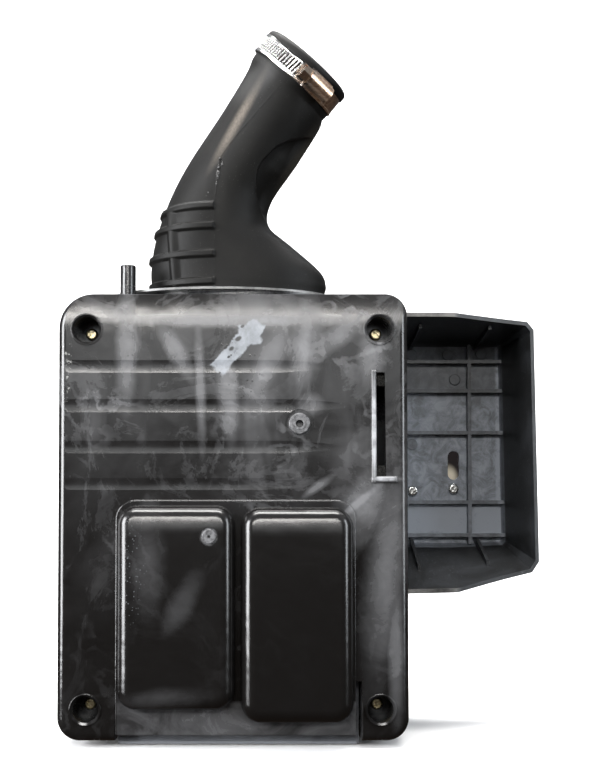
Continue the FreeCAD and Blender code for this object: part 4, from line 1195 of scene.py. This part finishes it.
foam_block("inlet_foam_block", 0.0806, 0.098, -0.108, -0.099, 0.016, 0.093,
           hole=(0.085, 0.0946, 0.031, 0.079), step=0.0009, amp=0.00035,
           mat=MATS["black_foam"], node="inlet_foam", body="cover",
           seed=3)
foam_block("filter_foam_pad", -0.071, 0.071, -0.0779, -0.0656, -0.089, 0.103,
           step=0.0024, amp=0.0005, mat=MATS["filter_media"],
           node="filter_foam", body="element", seed=4)


def woven_screen():
    """Crossing wires that pass over and under each other."""
    x0, x1, z0, z1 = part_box("filter_mesh")[0][0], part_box("filter_mesh")[1][0], \
        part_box("filter_mesh")[0][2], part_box("filter_mesh")[1][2]
    yc = -0.065
    r = 0.00024
    pitch = 0.0052
    verts, faces = [], []

    def wire(pts, across):
        base = len(verts)
        k = 5
        for p in pts:
            for q in range(k):
                a = 2 * math.pi * q / k
                verts.append((p[0] + (across[0] * math.cos(a)) * r,
                              p[1] + math.sin(a) * r,
                              p[2] + (across[2] * math.cos(a)) * r))
        n = len(pts)
        for i in range(n - 1):
            for q in range(k):
                q2 = (q + 1) % k
                faces.append((base + i * k + q, base + i * k + q2,
                              base + (i + 1) * k + q2, base + (i + 1) * k + q))
        faces.append(tuple(base + q for q in range(k))[::-1])
        faces.append(tuple(base + (n - 1) * k + q for q in range(k)))

    nx = int((x1 - x0 - 2 * r) / pitch)
    nz = int((z1 - z0 - 2 * r) / pitch)
    px = [x0 + r + (x1 - x0 - 2 * r) * i / nx for i in range(nx + 1)]
    pz = [z0 + r + (z1 - z0 - 2 * r) * i / nz for i in range(nz + 1)]
    for i, x in enumerate(px):
        wire([(x, yc + 0.00024 * (1 if (i + k) % 2 else -1), z)
              for k, z in enumerate(pz)], (1, 0, 0))
    for k, z in enumerate(pz):
        wire([(x, yc + 0.00024 * (-1 if (i + k) % 2 else 1), z)
              for i, x in enumerate(px)], (0, 0, 1))
    ob = make_obj("filter_screen_wires", verts, faces, MATS["screen_steel"])
    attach(ob, "element")
    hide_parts("filter_mesh")


woven_screen()
for nm in ("cover_gasket", "filter_seal"):
    ob = bpy.data.objects[nm]
    ob.data.materials.clear()
    ob.data.materials.append(MATS["seal_rubber"])
    bevel(ob, 0.0005, 3, 40)

# ================================================================ lights
FLOOR_Z = CAD_LO.z - 0.0005


def make_floor():
    """A pale floor that sweeps up into a backdrop behind the object."""
    prof = [(-2.6, 0.0), (0.55, 0.0)]
    r = 0.6
    for k in range(1, 17):
        a = math.radians(90 * k / 16)
        prof.append((0.55 + r * math.sin(a), r * (1 - math.cos(a))))
    prof.append((0.55 + r, 3.2))
    verts, w = [], 3.4
    for y, z in prof:
        verts += [(-w, y, FLOOR_Z + z), (w, y, FLOOR_Z + z)]
    faces = [(2 * i, 2 * i + 1, 2 * i + 3, 2 * i + 2)
             for i in range(len(prof) - 1)]
    t = Tree("floor_paper")
    n = t.noise(3, 3, 0.5)
    col = t.mix(n, (0.93, 0.93, 0.93), (0.97, 0.97, 0.97))
    # painted shade on the paper, seen only through the slot in the tray: near black, with
    # a tan patch standing in for a shaded table under the slot
    d = t.nt.nodes.new("ShaderNodeVectorMath")
    d.operation = "DISTANCE"
    t.link(t.mapping(scale=(2.0, 1, 1)), d.inputs[0])
    d.inputs[1].default_value = (2 * 0.3435, 0.995, 0.065)
    slot_shade = t.maprange(d.outputs["Value"], 0.042, 0.062, 1.0, 0.0, True,
                    "SMOOTHSTEP")
    d2 = t.nt.nodes.new("ShaderNodeVectorMath")
    d2.operation = "DISTANCE"
    t.link(t.mapping(scale=(2.0, 1, 1)), d2.inputs[0])
    d2.inputs[1].default_value = (2 * 0.3365, 0.995, 0.038)
    tan = t.maprange(d2.outputs["Value"], 0.010, 0.034, 1.0, 0.0, True,
                     "SMOOTHSTEP")
    col = t.mix(slot_shade, col, t.mix(tan, (0.006, 0.005, 0.005),
                               (0.155, 0.140, 0.110)))
    t.set(color=col, rough=0.9, spec=0.0)
    ob = make_obj("floor", verts, faces, t.mat)
    ob.visible_diffuse = False
    ob.visible_glossy = False
    return ob


make_floor()


def area(name, loc, target, size, size_y, radiance, color=(1, 1, 1)):
    d = bpy.data.lights.new(name, "AREA")
    d.energy = radiance * math.pi * size * size_y
    d.color = color
    d.shape = "RECTANGLE"
    d.size, d.size_y = size, size_y
    o = bpy.data.objects.new(name, d)
    SC.collection.objects.link(o)
    o.location = loc
    o.rotation_euler = (Vector(target) - Vector(loc)).to_track_quat(
        "-Z", "Y").to_euler()
    return o


# broad front box above the camera, and a slim strip over it
area("front_box", (-0.05, -1.65, 0.38), (0, 0, 0.08), 1.2, 0.42, 1.5,
     (0.95, 0.98, 1.0))
area("front_strip", (-0.10, -1.6, 0.63), (0, 0, 0.1), 0.80, 0.09, 46.0,
     (1.0, 0.975, 0.94))
area("top_strip", (0.0, -0.35, 1.15), (0, -0.1, 0), 0.9, 0.25, 26.0,
     (1.0, 0.98, 0.96))
area("left_strip", (-1.15, -0.75, 0.25), (0, -0.1, 0.05), 0.62, 1.1, 22.0,
     (0.97, 0.98, 1.0))
area("right_strip", (1.15, -0.80, 0.30), (0, -0.1, 0.05), 0.36, 1.0, 11.0,
     (0.90, 0.95, 1.0))
area("backdrop_light", (0.0, 0.30, 2.1), (0, 1.1, 0.45), 2.8, 0.4, 26.0)
area("floor_light", (0.0, -0.3, 2.4), (0, 0.2, -0.14), 2.4, 1.2, 1.3)

world = bpy.data.worlds.new("world")
SC.world = world
world.use_nodes = True
wn = world.node_tree
bg = wn.nodes["Background"]
wc = wn.nodes.new("ShaderNodeTexCoord")
wz = wn.nodes.new("ShaderNodeSeparateXYZ")
wr = wn.nodes.new("ShaderNodeValToRGB")
wn.links.new(wc.outputs["Generated"], wz.inputs[0])
mr = wn.nodes.new("ShaderNodeMapRange")
mr.inputs[1].default_value, mr.inputs[2].default_value = -1.0, 1.0
wn.links.new(wz.outputs[2], mr.inputs[0])
wn.links.new(mr.outputs[0], wr.inputs[0])
stops = [(0.0, (0.06, 0.042, 0.032)), (0.44, (0.046, 0.036, 0.030)),
         (0.52, (0.060, 0.054, 0.050)), (0.66, (0.13, 0.13, 0.135)),
         (0.85, (0.36, 0.37, 0.39)), (1.0, (0.55, 0.56, 0.58))]
els = wr.color_ramp.elements
while len(els) < len(stops):
    els.new(0.5)
for e, (pos, c) in zip(els, stops):
    e.position = pos
    e.color = (*c, 1)
wn.links.new(wr.outputs[0], bg.inputs[0])
bg.inputs[1].default_value = 1.0
SC.view_settings.view_transform = "Standard"
SC.view_settings.look = "None"
SC.view_settings.exposure = 0.0
